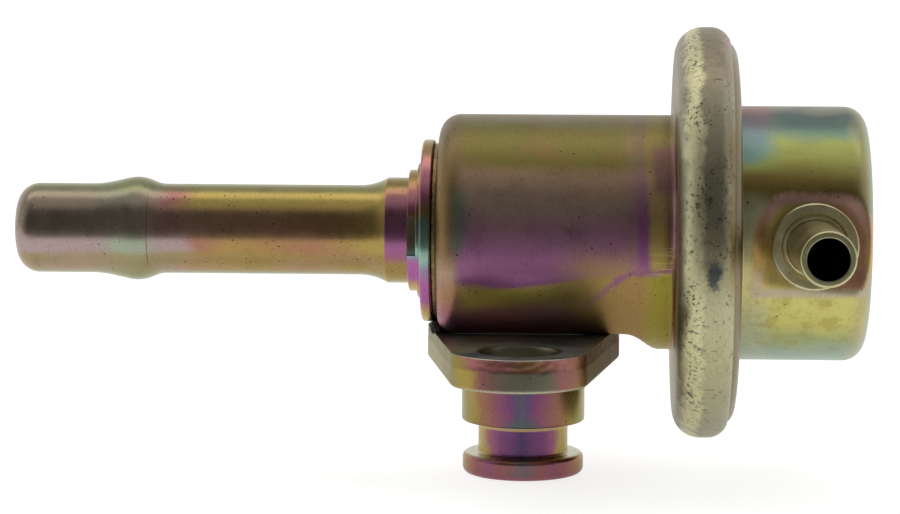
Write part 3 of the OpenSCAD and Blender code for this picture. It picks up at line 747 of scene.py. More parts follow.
def body_zinc():
    """Yellow zinc of the body: olive above, mauve and purple on the flanks, and a pale rim with a painted
    highlight and a painted dark reflection.
    """
    c = bpy.context.scene.regulator_finish
    coat = Coat("yellow_zinc_drawn_body", main_axis())
    x, y, z = coat.x, coat.y, coat.z
    wide = coat.cloud(6.0, 3.0, 0.55, (2.0, 1.0, 1.0))
    level, edge = coat.swayed(z, wide, 1.04), coat.swayed(x, wide, 0.5)
    mauve, olive = between(c.rose, c.silver, 0.45), between(c.gold, c.lime, 0.3)
    wall = coat.bands(level, -10.4, 10.4, [
        (0.1, between(c.rose, c.magenta)), (0.22, between(c.bronze, c.magenta, 0.4)),
        (0.29, dimmed(c.gold, 1.2)), (0.33, c.magenta),
        (0.38, dimmed(between(c.magenta, c.silver, 0.08), 1.3)),
        (0.47, dimmed(between(c.magenta, c.silver, 0.08), 1.2)), (0.56, between(c.magenta, mauve)),
        (0.65, mauve), (0.76, between(mauve, c.bronze)), (0.83, dimmed(olive, 0.54)),
        (0.96, dimmed(olive, 0.52)), (1.0, dimmed(between(c.silver, c.gold), 0.5)),
    ])
    slant = add(coat.tree, "ShaderNodeMath", {0: edge, 1: -0.15, 2: 3.8}, operation="MULTIPLY_ADD")
    values = {0: coat.swayed(z, wide, 0.4), 1: slant.outputs[0]}
    under = add(coat.tree, "ShaderNodeMath", values, operation="ADD").outputs[0]
    seam = dimmed(between(c.gold, c.acid, 0.3), 1.3)
    wall = coat.paint(wall, seam, 0.85, (under, 0.2, -0.2), (under, -2.0, -1.0), (edge, -6.0, -4.5))
    rust = coat.cloud(2.8, 4.0, 0.6, shift=(0.0, 0.02, 0.0))
    wall = coat.paint(wall, dimmed(c.bronze, 0.7), 0.6, (rust, 0.5, 0.68), (z, 5.0, 7.0))

    # The purple runs out into gold towards the mouth, with a thin line of it left round the gold
    wall = coat.paint(wall, between(c.gold, c.bronze), 0.8, (edge, 2.5, 6.0), (z, 0.6, -2.0))
    stray = coat.cloud(2.2, 3.0, 0.6, shift=(0.0, 0.0, 0.03))
    slope = add(coat.tree, "ShaderNodeMath", {0: edge, 1: 0.75, 2: -9.4}, operation="MULTIPLY_ADD")
    shore = add(coat.tree, "ShaderNodeMath", {0: slope.outputs[0], 1: -2.3}, operation="MINIMUM")
    values = {0: coat.swayed(z, stray, 0.6), 1: shore.outputs[0]}
    off = add(coat.tree, "ShaderNodeMath", values, operation="SUBTRACT").outputs[0]
    ripe, ripest = between(c.gold, c.bronze, 0.6), between(c.acid, c.gold, 0.3)
    ripe = coat.paint(ripe, ripest, 1.0, (coat.swayed(edge, stray, 0.6), 10.3, 11.6))
    wall = coat.paint(wall, ripe, 0.9, (off, 0.2, -0.3), (edge, 5.4, 6.6))
    wall = coat.paint(wall, c.magenta, 0.75, (coat.apart(off, 0.0), 0.6, 0.1), (edge, 5.4, 8.0))
    mouth = coat.bands(edge, 8.4, 13.6, [
        (0.0, between(mauve, c.bronze)), (0.2, between(mauve, c.magenta)), (0.3, dimmed(c.magenta, 1.1)),
        (0.4, dimmed(c.magenta, 1.1)), (0.5, dimmed(c.gold, 1.35)), (0.68, dimmed(c.gold, 1.3)),
        (0.8, dimmed(c.bronze, 0.7)), (0.92, dimmed(between(mauve, c.magenta), 1.3)),
    ])
    wall = coat.paint(wall, mouth, 1.0, (edge, 8.4, 9.4), (off, 0.0, 0.6), (z, 6.5, 1.5, 0.15, 0.9))
    plum = dimmed(between(c.magenta, c.bronze), 0.62)
    wall = coat.paint(wall, plum, 0.75, (edge, 10.8, 11.6), (coat.apart(z, 6.2), 2.4, 1.4))
    wall = coat.paint(wall, c.rose, 0.6, (x, 12.75, 13.05), (z, 0.0, -2.0))
    drawn = coat.cloud(0.15, 1.0, 0.5, (30.0, 1.0, 1.0))
    belt = (coat.apart(z, -1.4), 1.6, 0.8)
    wall = coat.paint(wall, c.straw, 0.7, (edge, 10.4, 11.6), belt, (drawn, 0.54, 0.62))

    # The closed end is browner, with a dull green patch behind it
    heel = coat.bands(level, -10.4, 10.4, [
        (0.06, dimmed(c.gold, 0.7)), (0.16, between(c.rose, c.magenta)),
        (0.26, between(c.rose, c.bronze)), (0.38, between(c.bronze, c.silver, 0.3)),
        (0.46, dimmed(between(c.bronze, c.gold), 0.7)), (0.7, dimmed(between(c.bronze, c.gold), 0.64)),
        (0.95, dimmed(between(c.bronze, c.silver, 0.3), 0.52)),
    ])
    wall = coat.paint(wall, heel, 0.9, (edge, -5.0, -6.0))
    spot = ((coat.apart(edge, -5.5), 1.0, 0.3), (coat.apart(z, 1.8), 3.6, 1.8))
    wall = coat.paint(wall, dimmed(c.teal, 0.55), 0.6, *spot)

    # The rolled rim is pale, with a painted highlight near the body, and darker along its crown in its
    # upper part as a painted dark reflection; it has pits, scuffs and one worn grey patch
    rim = coat.bands(coat.swayed(z, wide, 2.2), -18.2, 18.2, [
        (0.0, dimmed(c.silver, 0.75)), (0.25, dimmed(between(c.silver, c.straw, 0.3), 0.9)),
        (0.45, between(c.silver, c.straw, 0.2)), (0.62, dimmed(c.silver, 0.95)),
        (0.85, dimmed(c.silver, 0.75)), (0.97, dimmed(between(c.silver, c.rose), 0.85)),
    ])
    crown = coat.swayed(x, coat.cloud(1.8, 3.0, 0.6), 0.5)
    rim_highlight, dull = dimmed(between(c.silver, c.straw, 0.3), 1.25), between(c.silver, c.bronze, 0.35)
    # Painted highlight: a pale strip round the rim near the body side.
    rim = coat.paint(rim, rim_highlight, 0.9, (coat.apart(crown, 14.7), 0.9, 0.5))
    # Painted dark reflection: a darker strip along the crown, in the rim's upper part.
    rim = coat.paint(rim, dimmed(dull, 0.55), 0.75, (coat.apart(crown, 16.2), 1.2, 0.7), (z, -3.0, 1.0))
    rim = coat.paint(rim, dimmed(between(c.silver, c.gold), 0.55), 0.7, (crown, 13.9, 13.5))
    brown = dimmed(between(c.gold, c.rose, 0.3), 0.6)
    rim = coat.paint(rim, brown, 0.7, (crown, 17.1, 17.6), (coat.apart(z, 4.0), 9.0, 5.0))
    pitted = dimmed(c.slate, 0.22)
    patch, fleck = coat.cloud(2.6, 3.0, 0.6), coat.cloud(0.34, 4.0, 0.65)
    pits, shoulder = (fleck, 0.54, 0.62), (coat.apart(x, 14.5), 1.3, 0.5)
    rim = coat.paint(rim, pitted, 0.72, pits, (patch, 0.5, 0.64))
    rim = coat.paint(rim, pitted, 0.72, pits, (patch, 0.38, 0.52), shoulder)
    scuff = coat.cloud(0.32, 3.0, 0.6, (4.0, 1.0, 1.0))
    place = coat.cloud(3.4, 2.0, 0.5, shift=(0.02, 0.01, 0.0))
    rim = coat.paint(rim, pitted, 0.72, (scuff, 0.6, 0.68), (place, 0.47, 0.58))
    wide_off = coat.share((coat.apart(crown, 16.1), 0.0, 1.0))
    worn = coat.reach(wide_off, coat.share((coat.apart(z, -1.8), 0.0, 1.9)))
    worn = coat.swayed(worn, fleck, 0.35)
    rim = coat.paint(rim, dimmed(c.slate, 0.4), 0.85, (worn, 0.85, 0.45), (y, -5.0, -8.0))
    out = coat.paint(wall, rim, 1.0, (coat.reach(y, z), 11.5, 13.2))
    return plated(coat, out, rough=0.42, grain=0.14, lay=(1.0, 3.0, 3.0))


def cap_zinc():
    """Pale zinc of the cap, with a thick film that runs from pink to teal, lime and straw."""
    c = bpy.context.scene.regulator_finish
    tubes = bpy.context.scene.regulator_tubes
    coat = Coat("pale_zinc_drawn_cap", main_axis())
    x, z = coat.x, coat.z
    wide = coat.cloud(6.5, 2.0, 0.5, (1.4, 1.0, 1.0))
    level, foot = coat.swayed(z, wide, 1.35), coat.swayed(x, wide, 1.0)
    # The dark gold at 0.68 to 0.75 of the height, just above the nipple's flat, is painted shade.
    film = coat.bands(level, -11.25, 11.25, [
        (0.0, between(c.teal, c.silver, 0.3)), (0.08, between(c.teal, c.silver, 0.3)),
        (0.15, between(c.lime, c.silver, 0.3)), (0.22, dimmed(between(c.straw, c.lime, 0.3), 1.15)),
        (0.4, dimmed(between(c.straw, c.lime, 0.3), 1.15)), (0.52, dimmed(c.lime, 0.9)),
        (0.68, dimmed(c.gold, 0.55)), (0.74, dimmed(c.gold, 0.65)),
        (0.82, dimmed(between(c.lime, c.gold, 0.3), 1.15)), (0.88, between(c.lime, c.gold, 0.2)),
        (0.93, dimmed(between(c.teal, c.lime, 0.2), 0.6)), (0.97, dimmed(between(c.teal, c.slate), 0.5)),
        (0.99, dimmed(c.silver, 0.45)),
    ])
    lilac = between(c.slate, c.rose, 0.35)
    # Here too the dark gold at 0.7 to 0.75 of the height, just above the flat, is painted shade.
    left = coat.bands(level, -11.25, 11.25, [
        (0.05, between(c.teal, c.silver)), (0.3, between(c.straw, c.silver, 0.3)),
        (0.42, dimmed(between(c.straw, c.silver, 0.4), 1.15)),
        (0.63, dimmed(between(c.lime, c.silver, 0.7), 1.4)), (0.7, dimmed(c.gold, 0.6)),
        (0.75, dimmed(c.gold, 0.65)), (0.8, c.lime), (0.85, dimmed(c.teal, 0.9)),
        (0.9, dimmed(between(c.slate, c.teal, 0.4), 0.9)), (0.95, dimmed(lilac, 0.9)),
        (0.99, dimmed(between(c.rose, c.silver, 0.2), 0.8)),
    ])
    film = coat.paint(film, left, 1.0, (foot, 22.2, 20.6))
    blot = coat.cloud(1.7, 3.0, 0.6, shift=(0.01, 0.0, 0.02))
    belt = (coat.apart(level, -6.0), 4.0, 2.0)
    film = coat.paint(film, between(c.acid, c.gold, 0.6), 0.5, (blot, 0.5, 0.62), belt)
    film = coat.paint(film, between(c.gold, c.silver), 0.6, (foot, 28.0, 29.4))
    film = coat.paint(film, between(c.teal, c.silver), 0.8, (x, 29.3, 29.9))

    # The pressed flat: pink where its edges were drawn, paler at its lower edge and brighter at its upper
    # edge as painted highlight, brown-gold inside
    centre = (tubes.nipple_at, 0.0, main_axis()[2])
    aside, ahead, up = coat.axes(centre, tubes.nipple_lean)
    ragged = coat.cloud(0.8, 3.0, 0.6, (0.4, 1.0, 1.0))
    off = coat.swayed(coat.apart(up, 0.0), ragged, 0.2)
    # Pink of the drawn edge, partly painted highlight: paler at the lower edge, brightened at the upper
    # edge.
    edge_pink_and_highlight = coat.bands(up, -4.5, 4.5, [
        (0.1, between(c.rose, c.silver, 0.75)), (0.35, dimmed(between(c.bronze, c.gold), 1.5)),
        (0.6, dimmed(between(c.rose, c.gold), 1.6)), (0.85, dimmed(between(c.rose, c.silver, 0.25), 1.9)),
    ])
    face = coat.bands(coat.swayed(aside, ragged, 0.5), -5.0, 5.0, [
        (0.0, dimmed(between(c.gold, c.rose, 0.3), 1.6)),
        (0.2, dimmed(between(c.gold, c.lime, 0.3), 1.5)),
        (0.7, dimmed(between(c.bronze, c.rose, 0.3), 1.4)),
        (0.95, dimmed(between(c.bronze, c.rose, 0.6), 1.2)),
    ])
    above = add(coat.tree, "ShaderNodeMath", {0: up, 1: 0.0}, operation="MAXIMUM").outputs[0]
    arch = coat.swayed(coat.reach(aside, above), ragged, 0.2)
    plane = ((ahead, -10.3, -10.42), (ahead, -10.7, -10.58))
    film = coat.paint(film, edge_pink_and_highlight, 0.9, (off, 4.7, 4.2), (arch, 5.6, 5.1), (ahead, -9.6, -10.1))
    film = coat.paint(film, face, 0.9, *plane, (off, 3.9, 3.5), (arch, 4.6, 4.2))
    film = coat.paint(film, dimmed(between(c.bronze, c.silver, 0.6), 0.6), 1.0, (x, 18.95, 18.75))
    return plated(coat, film, rough=0.37, grain=0.15, speck=0.25)


def tube_zinc():
    """Bronze zinc of the return tube: lavender at its tip, gold on the shank, purple on the socket."""
    c = bpy.context.scene.regulator_finish
    tubes = bpy.context.scene.regulator_tubes
    coat = Coat("bronze_zinc_drawn_tube", main_axis())
    x, z = coat.x, coat.z
    wide = coat.cloud(4.0, 3.0, 0.55, (2.5, 1.0, 1.0))
    along = coat.swayed(x, wide, 1.2)
    tip, socket = -46.0, -10.0
    lavender, pale = between(c.silver, c.magenta, 0.45), between(c.teal, c.silver, 0.6)
    rosy = between(c.silver, c.rose, 0.4)
    low = coat.bands(along, tip, socket, [
        (0.0, dimmed(lavender, 0.85)), (0.12, dimmed(lavender, 0.95)), (0.22, dimmed(lavender, 0.9)),
        (0.28, dimmed(pale, 0.8)), (0.34, dimmed(pale, 0.8)), (0.38, dimmed(lavender, 0.9)),
        (0.44, dimmed(lavender, 0.9)), (0.47, between(c.rose, c.bronze, 0.3)),
        (0.54, between(c.bronze, c.gold)), (0.66, c.bronze), (0.78, between(c.bronze, c.rose, 0.4)),
        (0.91, c.gold),
    ])
    high = coat.bands(along, tip, socket, [
        (0.0, dimmed(rosy, 0.62)), (0.2, dimmed(rosy, 0.62)), (0.28, dimmed(c.silver, 0.5)),
        (0.36, dimmed(between(c.silver, c.rose), 0.7)), (0.4, dimmed(c.rose, 0.9)),
        (0.47, dimmed(c.gold, 0.95)), (0.7, dimmed(c.gold, 0.9)), (0.91, c.gold),
    ])
    core = coat.bands(along, tip, socket, [
        (0.0, dimmed(rosy, 0.75)), (0.33, dimmed(between(c.silver, c.rose, 0.3), 0.75)),
        (0.4, between(c.rose, c.silver, 0.25)), (0.8, between(c.rose, c.bronze, 0.6)),
        (0.91, between(c.gold, c.bronze)),
    ])
    film = coat.paint(low, high, 1.0, (coat.swayed(z, wide, 0.4), -0.6, 1.4))
    film = coat.paint(film, core, 0.75, (z, 2.5, 1.5), (z, -0.8, 0.2))
    grey = dimmed(between(c.gold, c.silver, 0.3), 0.72)
    tan = coat.paint(grey, dimmed(c.gold, 0.85), 1.0, (along, -32.3, -29.4))
    blot = coat.cloud(2.6, 2.0, 0.5, (2.0, 1.0, 1.0), (0.05, 0.0, 0.0))
    tan = coat.paint(tan, between(c.rose, c.silver, 0.3), 0.6, (blot, 0.45, 0.7))
    film = coat.paint(film, tan, 0.85, (coat.swayed(z, wide, 0.5), -1.5, -2.1))
    purple = coat.bands(coat.swayed(z, wide, 0.4), -4.7, 4.7, [
        (0.05, dimmed(c.gold, 0.85)), (0.2, between(c.gold, c.bronze)),
        (0.27, between(c.rose, c.magenta)), (0.36, c.magenta),
        (0.72, dimmed(between(c.magenta, c.rose), 0.85)), (0.84, between(c.rose, c.magenta, 0.3)),
        (0.9, between(c.rose, c.bronze)), (0.97, dimmed(c.gold, 0.7)),
    ])
    film = coat.paint(film, purple, 0.95, (x, -12.25, -12.1))
    # Painted sheen: lime along the tube's top and bottom edges stands for the film's colour at a grazing
    # angle.
    rim = dimmed(between(c.lime, c.silver, 0.3), 0.62)
    film = coat.paint(film, rim, 0.8, (coat.apart(z, 0.0), 3.3, 3.9), (x, -12.3, -12.6))
    # The line that the bead's roller leaves
    roller = coat.apart(x, 1.05 - tubes.bead_reach / MM)
    seen = (coat.apart(z, 0.0), 3.6, 2.6)
    film = coat.paint(film, dimmed(c.bronze, 0.3), 0.55, (roller, 0.07, 0.03), seen)
    return plated(coat, film, rough=0.25, speck=0.5, speck_mm=0.5)


def stack_zinc(name, reach, shift, floor=0.0):
    """Iridescent zinc of the small pieces on the closed end: gold, purple, green and gold again.
    Slots down to a floor radius are brown inside."""
    c = bpy.context.scene.regulator_finish
    coat = Coat(name, main_axis())
    level = coat.swayed(coat.z, coat.cloud(4.0, 2.0, 0.5, shift=(shift, 0.0, 0.0)), 0.08 * reach)
    stops = [
        (0.0, dimmed(c.gold, 0.8)), (0.06, dimmed(c.gold, 0.9)), (0.1, c.bronze), (0.15, c.magenta),
        (0.28, c.magenta), (0.33, between(c.slate, c.magenta, 0.3)), (0.37, dimmed(c.teal, 0.85)),
        (0.41, dimmed(c.teal, 0.85)), (0.45, dimmed(c.teal, 0.5)), (0.6, dimmed(c.teal, 0.45)),
        (0.67, dimmed(c.bronze, 0.5)), (0.74, dimmed(between(c.rose, c.magenta, 0.4), 0.6)),
        (0.8, dimmed(between(c.rose, c.magenta, 0.3), 0.85)), (0.88, dimmed(c.rose, 0.9)),
        (0.93, dimmed(c.bronze, 0.7)), (1.0, dimmed(c.gold, 0.6)),
    ]
    film = coat.bands(level, -reach, reach, [(place, dimmed(tone, 1.35)) for place, tone in stops])
    front = -bpy.context.scene.regulator_tubes.lock_from / MM
    low = (coat.reach(coat.y, coat.z), floor + 0.3, floor + 0.1)
    film = coat.paint(film, dimmed(c.bronze, 0.45), 0.85, low, (coat.x, front + 0.02, front + 0.08))
    return plated(coat, film, rough=0.27, speck=0.2)


def flange_zinc():
    """Zinc of the blanked plate: olive and rose on its edge, grey on its faces, with painted shade behind
    the heel.
    """
    c = bpy.context.scene.regulator_finish
    flange = bpy.context.scene.regulator_flange
    coat = Coat("yellow_zinc_blanked_plate")
    x, y, z = coat.x, coat.y, coat.z
    wide = coat.cloud(4.5, 2.0, 0.5)
    level = coat.swayed(x, wide, 1.0)
    thick, hole_r = flange.thick / MM, flange.bolt_hole / 2 / MM
    grey, olive = between(c.silver, c.gold, 0.3), between(c.acid, c.gold, 0.7)
    torn = coat.bands(level, -8.5, 8.5, [
        (0.05, dimmed(grey, 0.75)), (0.15, dimmed(between(grey, olive), 0.7)), (0.21, dimmed(olive, 0.8)),
        (0.26, c.rose), (0.42, dimmed(c.rose, 0.85)), (0.55, dimmed(c.bronze, 0.75)), (0.72, c.rose),
        (0.84, dimmed(c.bronze, 0.6)), (1.0, dimmed(c.bronze, 0.5)),
    ])
    cut = coat.bands(level, -8.5, 8.5, [
        (0.05, grey), (0.15, dimmed(between(grey, olive), 0.8)), (0.21, olive), (0.25, c.gold),
        (0.32, dimmed(c.rose, 0.85)), (0.48, dimmed(c.silver, 0.43)), (0.62, dimmed(c.silver, 0.4)),
        (0.75, dimmed(c.rose, 0.85)), (0.84, dimmed(c.gold, 0.8)), (1.0, dimmed(c.bronze, 0.6)),
    ])
    edge = coat.paint(cut, torn, 1.0, (coat.swayed(z, coat.cloud(1.0, 3.0, 0.6), 0.25), 1.65, 1.8))
    # Painted highlight: a pale band along the die roll at the plate's lower edge.
    edge = coat.paint(edge, c.silver, 0.7, (z, 0.26, 0.12))
    face = coat.paint(dimmed(c.silver, 1.2), dimmed(c.slate, 1.6), 1.0, (wide, 0.35, 0.7))
    # Painted shade: the top face near black behind the heel.
    face = coat.paint(face, dimmed(c.teal, 0.03), 0.92, (x, -5.6, -6.8))
    from_hole = coat.reach(x, coat.apart(coat.apart(y, 0.0), flange.bolt_spacing / 2 / MM))
    out = coat.paint(edge, face, 1.0, (z, thick - 0.06, thick - 0.02))
    # Painted shade: the bolt holes' walls and rims are darkened.
    bore = dimmed(between(c.bronze, c.teal), 0.6)
    out = coat.paint(out, bore, 1.0, (from_hole, hole_r + 0.35, hole_r + 0.2))
    # A dull film that keeps its colour at a grazing angle
    return plated(coat, out, rough=0.36, speck=0.2, specular_tint=(0.62, 0.6, 0.56))


def spigot_zinc():
    """Zinc of the turned spigot: gold at its flanks, purple in the groove and on its front and back."""
    c = bpy.context.scene.regulator_finish
    coat = Coat("yellow_zinc_turned_spigot")
    x, y, z = coat.x, coat.y, coat.z
    side = coat.swayed(coat.apart(x, 0.0), coat.cloud(3.5, 2.0, 0.5), 0.6)
    radius = coat.reach(x, y)
    film = coat.bands(side, 0.0, 5.5, [
        (0.0, dimmed(between(c.slate, c.rose, 0.3), 0.75)),
        (0.1, dimmed(between(c.slate, c.violet, 0.6), 0.75)), (0.22, dimmed(c.magenta, 0.75)),
        (0.32, dimmed(between(c.magenta, c.rose), 0.8)), (0.44, dimmed(c.rose, 0.8)),
        (0.66, dimmed(between(c.bronze, c.rose, 0.3), 0.85)), (0.78, dimmed(c.gold, 0.85)),
        (0.97, dimmed(between(c.lime, c.gold), 0.65)),
    ])
    toe = coat.bands(side, 0.0, 5.4, [
        (0.0, dimmed(between(c.slate, c.rose, 0.4), 0.85)), (0.3, dimmed(c.rose, 0.85)),
        (0.5, dimmed(between(c.rose, c.magenta), 0.85)), (0.75, dimmed(c.rose, 0.9)),
        (0.9, dimmed(c.bronze, 0.9)),
    ])
    groove = coat.bands(side, 0.0, 4.0, [
        (0.0, dimmed(c.violet, 0.5)), (0.2, dimmed(between(c.violet, c.magenta), 0.62)),
        (0.5, dimmed(c.magenta, 0.68)), (0.68, dimmed(between(c.magenta, c.rose), 0.9)), (0.8, c.gold),
        (0.98, dimmed(c.gold, 0.85)),
    ])
    toe = coat.paint(toe, between(c.rose, c.magenta, 0.3), 1.0, (z, -10.0, -10.25))
    film = coat.paint(film, toe, 1.0, (z, -8.68, -8.72))
    # Painted highlight: a pale ring on the toe's top face below the groove.
    film = coat.paint(film, c.silver, 1.0, (z, -8.72, -8.62), (z, -8.5, -8.58), (radius, 4.08, 4.12))
    film = coat.paint(film, groove, 1.0, (z, -5.8, -5.95), (radius, 4.14, 4.1))
    # Painted highlight: a pale band on the fillet at the top of the groove.
    pale = between(c.straw, c.rose, 0.3)
    film = coat.paint(film, pale, 0.7, (z, -5.95, -6.0), (z, -6.3, -6.2), (radius, 4.3, 4.1))
    film = coat.paint(film, dimmed(c.teal, 0.35), 0.8, (z, -4.6, -5.5), (side, 2.0, 0.8), (z, -5.8, -5.7))
    return plated(coat, film, rough=0.27, speck=0.2)


def nipple_zinc():
    """Olive zinc of the vacuum nipple."""
    c = bpy.context.scene.regulator_finish
    tubes = bpy.context.scene.regulator_tubes
    coat = Coat("olive_zinc_turned_nipple")
    film = coat.bands(coat.cloud(2.5, 3.0, 0.55), 0.0, 1.0, [
        (0.3, dimmed(between(c.gold, c.silver, 0.4), 1.1)), (0.5, dimmed(between(c.gold, c.silver), 1.3)),
        (0.7, dimmed(c.silver, 1.4)),
    ])
    aside, ahead, up = coat.axes((tubes.nipple_at, 0.0, main_axis()[2]), tubes.nipple_lean)
    film = coat.paint(film, between(c.silver, c.straw, 0.4), 1.0, (ahead, -20.45, -20.6))
    # Painted shade: the bore is darkened inside.
    film = coat.paint(film, dimmed(c.grime_and_shade, 0.6), 1.0, (coat.reach(aside, up), 1.86, 1.78))
    return plated(coat, film, rough=0.3, speck=0.15)


def worked(name, dull, bright, mm, gloss, height, strength, stretch=(1.0, 1.0, 1.0), metallic=1.0):
    """A bare surface: patches between a dull and a bright tone, with a grain of that size and height."""
    coat = Coat(name)
    patch = coat.cloud(mm, 4.0, 0.6)
    tone = coat.paint(dull, bright, 1.0, (patch, 0.3, 0.7))
    grain = coat.cloud(mm / 3, 2.0, 0.5, stretch)
    rough = coat.share((patch, 0.3, 0.7, *gloss))
    return coat.done([(grain, height, strength)], metallic, base_color=tone, roughness=rough)


def turned_steel(name):
    """Bare steel with the fine rings of a lathe tool."""
    steel = bpy.context.scene.regulator_finish.steel
    return worked(name, dimmed(steel, 0.8), steel, 0.4, (0.2, 0.34), 0.004, 0.4, (1.0, 60.0, 60.0))


def polished_ball():
    """Hard polished steel with faint rolling marks."""
    steel = bpy.context.scene.regulator_finish.steel
    return worked("polished_ball_steel", dimmed(steel, 0.92), steel, 0.25, (0.06, 0.12), 0.001, 0.2)


def spring_steel():
    """Drawn wire with an oily dark skin."""
    wire = bpy.context.scene.regulator_finish.wire
    return worked("oiled_spring_wire", dimmed(wire, 0.6), wire, 0.3, (0.25, 0.4), 0.006, 0.4)


def membrane_rubber():
    """Fabric-backed rubber with a fine print of its cloth."""
    rubber = bpy.context.scene.regulator_finish.rubber
    pale = dimmed(rubber, 2.5)
    return worked("membrane_rubber", rubber, pale, 1.2, (0.55, 0.75), 0.03, 0.5, metallic=0.0)


def braze_metal():
    """Braze with a rough cast skin: brassy round the seal, pale along the plate, with painted shade under
    the heel.
    """
    c = bpy.context.scene.regulator_finish
    coat = Coat("braze_joint")
    skin = coat.cloud(0.35, 4.0, 0.65)
    tone = coat.paint(dimmed(c.bronze, 0.4), between(c.gold, c.silver, 0.2), 0.8, (skin, 0.35, 0.65))
    low = (coat.z, 3.45, 3.3)
    tone = coat.paint(tone, between(c.slate, c.silver, 0.4), 1.0, low, (coat.x, -6.6, -6.3))
    # Painted shade: dark, rough and less metallic under the heel.
    heel_shade = coat.share(low, (coat.x, -6.3, -6.6))
    tone = coat.paint(tone, dimmed(c.grime_and_shade, 0.3), 1.0, (heel_shade, 0.0, 1.0))
    rough = coat.share((skin, 0.3, 0.7, 0.3, 0.5), (heel_shade, 0.0, 1.0, 1.0, 2.0))
    metal = coat.share((heel_shade, 0.0, 1.0, 1.0, 0.1))
    return coat.done([(skin, 0.05, 0.6)], metal, base_color=tone, roughness=rough)


# Pieces


class REGULATOR_OT_body(Operator):
    """Draw the body cup with its pressed flat and roll its rim over the cap"""

    bl_idname = "regulator.body"
    bl_label = "Body cup"

    def execute(self, context):
        s, t = context.scene.regulator_shells, context.scene.regulator_tubes
        wall, r, rim = s.sheet, s.body_d / 2, s.rim_d / 2
        face = s.body_front + s.rim_w
        inner_rim = rim - wall
        hole = t.neck_d / 2 + FIT
        lip = (rim - s.lip_r, face - 2.3 * MM)
        seat = (inner_rim - s.rim_fit - s.cap_rim, face - s.cap_rim)
        top = lip[1] + s.lip_r * math.sin(s.lip_turn)
        cover = math.asin(min(1.0, (top - seat[1]) / (s.cap_rim + s.rim_fit)))
        outline = rounded([
            (hole, -s.body_back, 0.1 * MM),
            (r, -s.body_back, s.body_corner),
            (r, s.body_front, s.body_root),
            (rim, s.body_front, s.rim_corner),
            *arc(lip, s.lip_r, 0.0, s.lip_turn),
            *reversed(arc(seat, s.cap_rim + s.rim_fit, 0.0, cover)),
            (inner_rim, s.body_front + wall, s.rim_corner - wall),
            (r - wall, s.body_front + wall, s.body_root + wall),
            (r - wall, wall - s.body_back, s.body_corner - wall),
            (hole, wall - s.body_back, 0.1 * MM),
        ], True)
        mesh = turned(context, refined(outline, True, 0.45 * MM), body_zinc())
        rippled(mesh, s.ripple, 9 * MM, 1)
        level = context.scene.regulator_flange.thick
        turn_r, back = r - s.body_corner, s.body_corner - s.body_back
        mouth, run_out = s.body_front - 0.6 * MM, 0.8 * MM

        def depth(x, radius):
            """How deep a point lies in the sheet, from its outer side."""
            if x > back:
                return r - radius
            if radius < turn_r:
                return x + s.body_back
            return s.body_corner - math.hypot(x - back, radius - turn_r)

        def pressed(p):
            if p.x > mouth or p.z > s.axis_h:
                return p
            lift = min(max(depth(p.x, math.hypot(p.y, p.z - s.axis_h)), 0.0), wall)
            start = s.flat_front + lift * math.tan(math.pi / 8)
            drop = smooth_max(p.x - start, 0.0, run_out)
            heel = min(max(s.heel_r - s.body_back - p.x, 0.0), s.heel_r)
            rise = s.heel_r - math.sqrt(s.heel_r**2 - heel**2)
            return Vector((p.x, p.y, smooth_max(p.z, level + lift + rise - drop, s.flat_soft)))

        mesh = cleaned(shaped(mesh, pressed))
        neck = context.scene.regulator_flange.neck_d / 2 + FIT
        mesh = pierced(context, mesh, neck, (0.0, 0.0, 0.0), (0.0, 0.0, level))
        as_piece(context, "body_pressed", mesh, "body_cup", HOUSING)
        return {"FINISHED"}


class REGULATOR_OT_cap(Operator):
    """Draw the cap with the flat that carries the nipple"""

    bl_idname = "regulator.cap"
    bl_label = "Cap"

    def execute(self, context):
        s = context.scene.regulator_shells
        wall, r = s.sheet, s.cap_d / 2
        face = s.body_front + s.rim_w
        end = face + s.cap_len
        skirt = s.rim_d / 2 - wall - s.rim_fit
        skirt_end = s.body_front + wall + s.bead_t
        outline = rounded([
            (0.0, end),
            (r, end, s.cap_corner),
            (r, face, 0.35 * MM),
            (skirt, face, s.cap_rim),
            (skirt, skirt_end, EDGE),
            (skirt - wall, skirt_end, EDGE),
            (skirt - wall, face - wall, s.cap_rim - wall),
            (r - wall, face - wall, 0.35 * MM + wall),
            (r - wall, end - wall, s.cap_corner - wall),
            (0.0, end - wall),
        ], False)
        mesh = turned(context, refined(outline, False, 0.4 * MM), cap_zinc(), closed=False)
        rippled(mesh, s.ripple, 8 * MM, 2)
        t = context.scene.regulator_tubes
        turn_r, front = r - s.cap_corner, end - s.cap_corner
        slope, run_out, foot = math.tan(math.radians(30)), 0.5 * MM, face + 0.5 * MM
        middle = Vector((t.nipple_at, 0.0, s.axis_h))
        lean = Matrix.Rotation(t.nipple_lean, 3, "Z")
        upright = lean.transposed()

        def depth(x, radius):
            if x < front:
                return r - radius
            if radius < turn_r:
                return end - x
            return s.cap_corner - math.hypot(x - front, radius - turn_r)

        def pressed(p):
            if p.x < foot or p.y > 0:
                return p
            lift = min(max(depth(p.x, math.hypot(p.y, p.z - s.axis_h)), 0.0), wall)
            q = upright @ (p - middle)
            ramp = smooth_max(-s.cap_flat_back - q.x, 0.0, run_out) * slope
            q.y = smooth_max(q.y, lift - s.cap_flat - ramp, 0.6 * s.flat_soft)
            return lean @ q + middle

        mesh = cleaned(shaped(mesh, pressed))
        hole = middle + lean @ Vector((0.0, -s.cap_flat, 0.0))
        turn = (math.pi / 2, 0.0, t.nipple_lean)
        mesh = pierced(context, mesh, t.nipple_d / 2 + FIT, turn, hole)
        as_piece(context, "cap_pressed", mesh, "cap_shell", HOUSING)
        return {"FINISHED"}


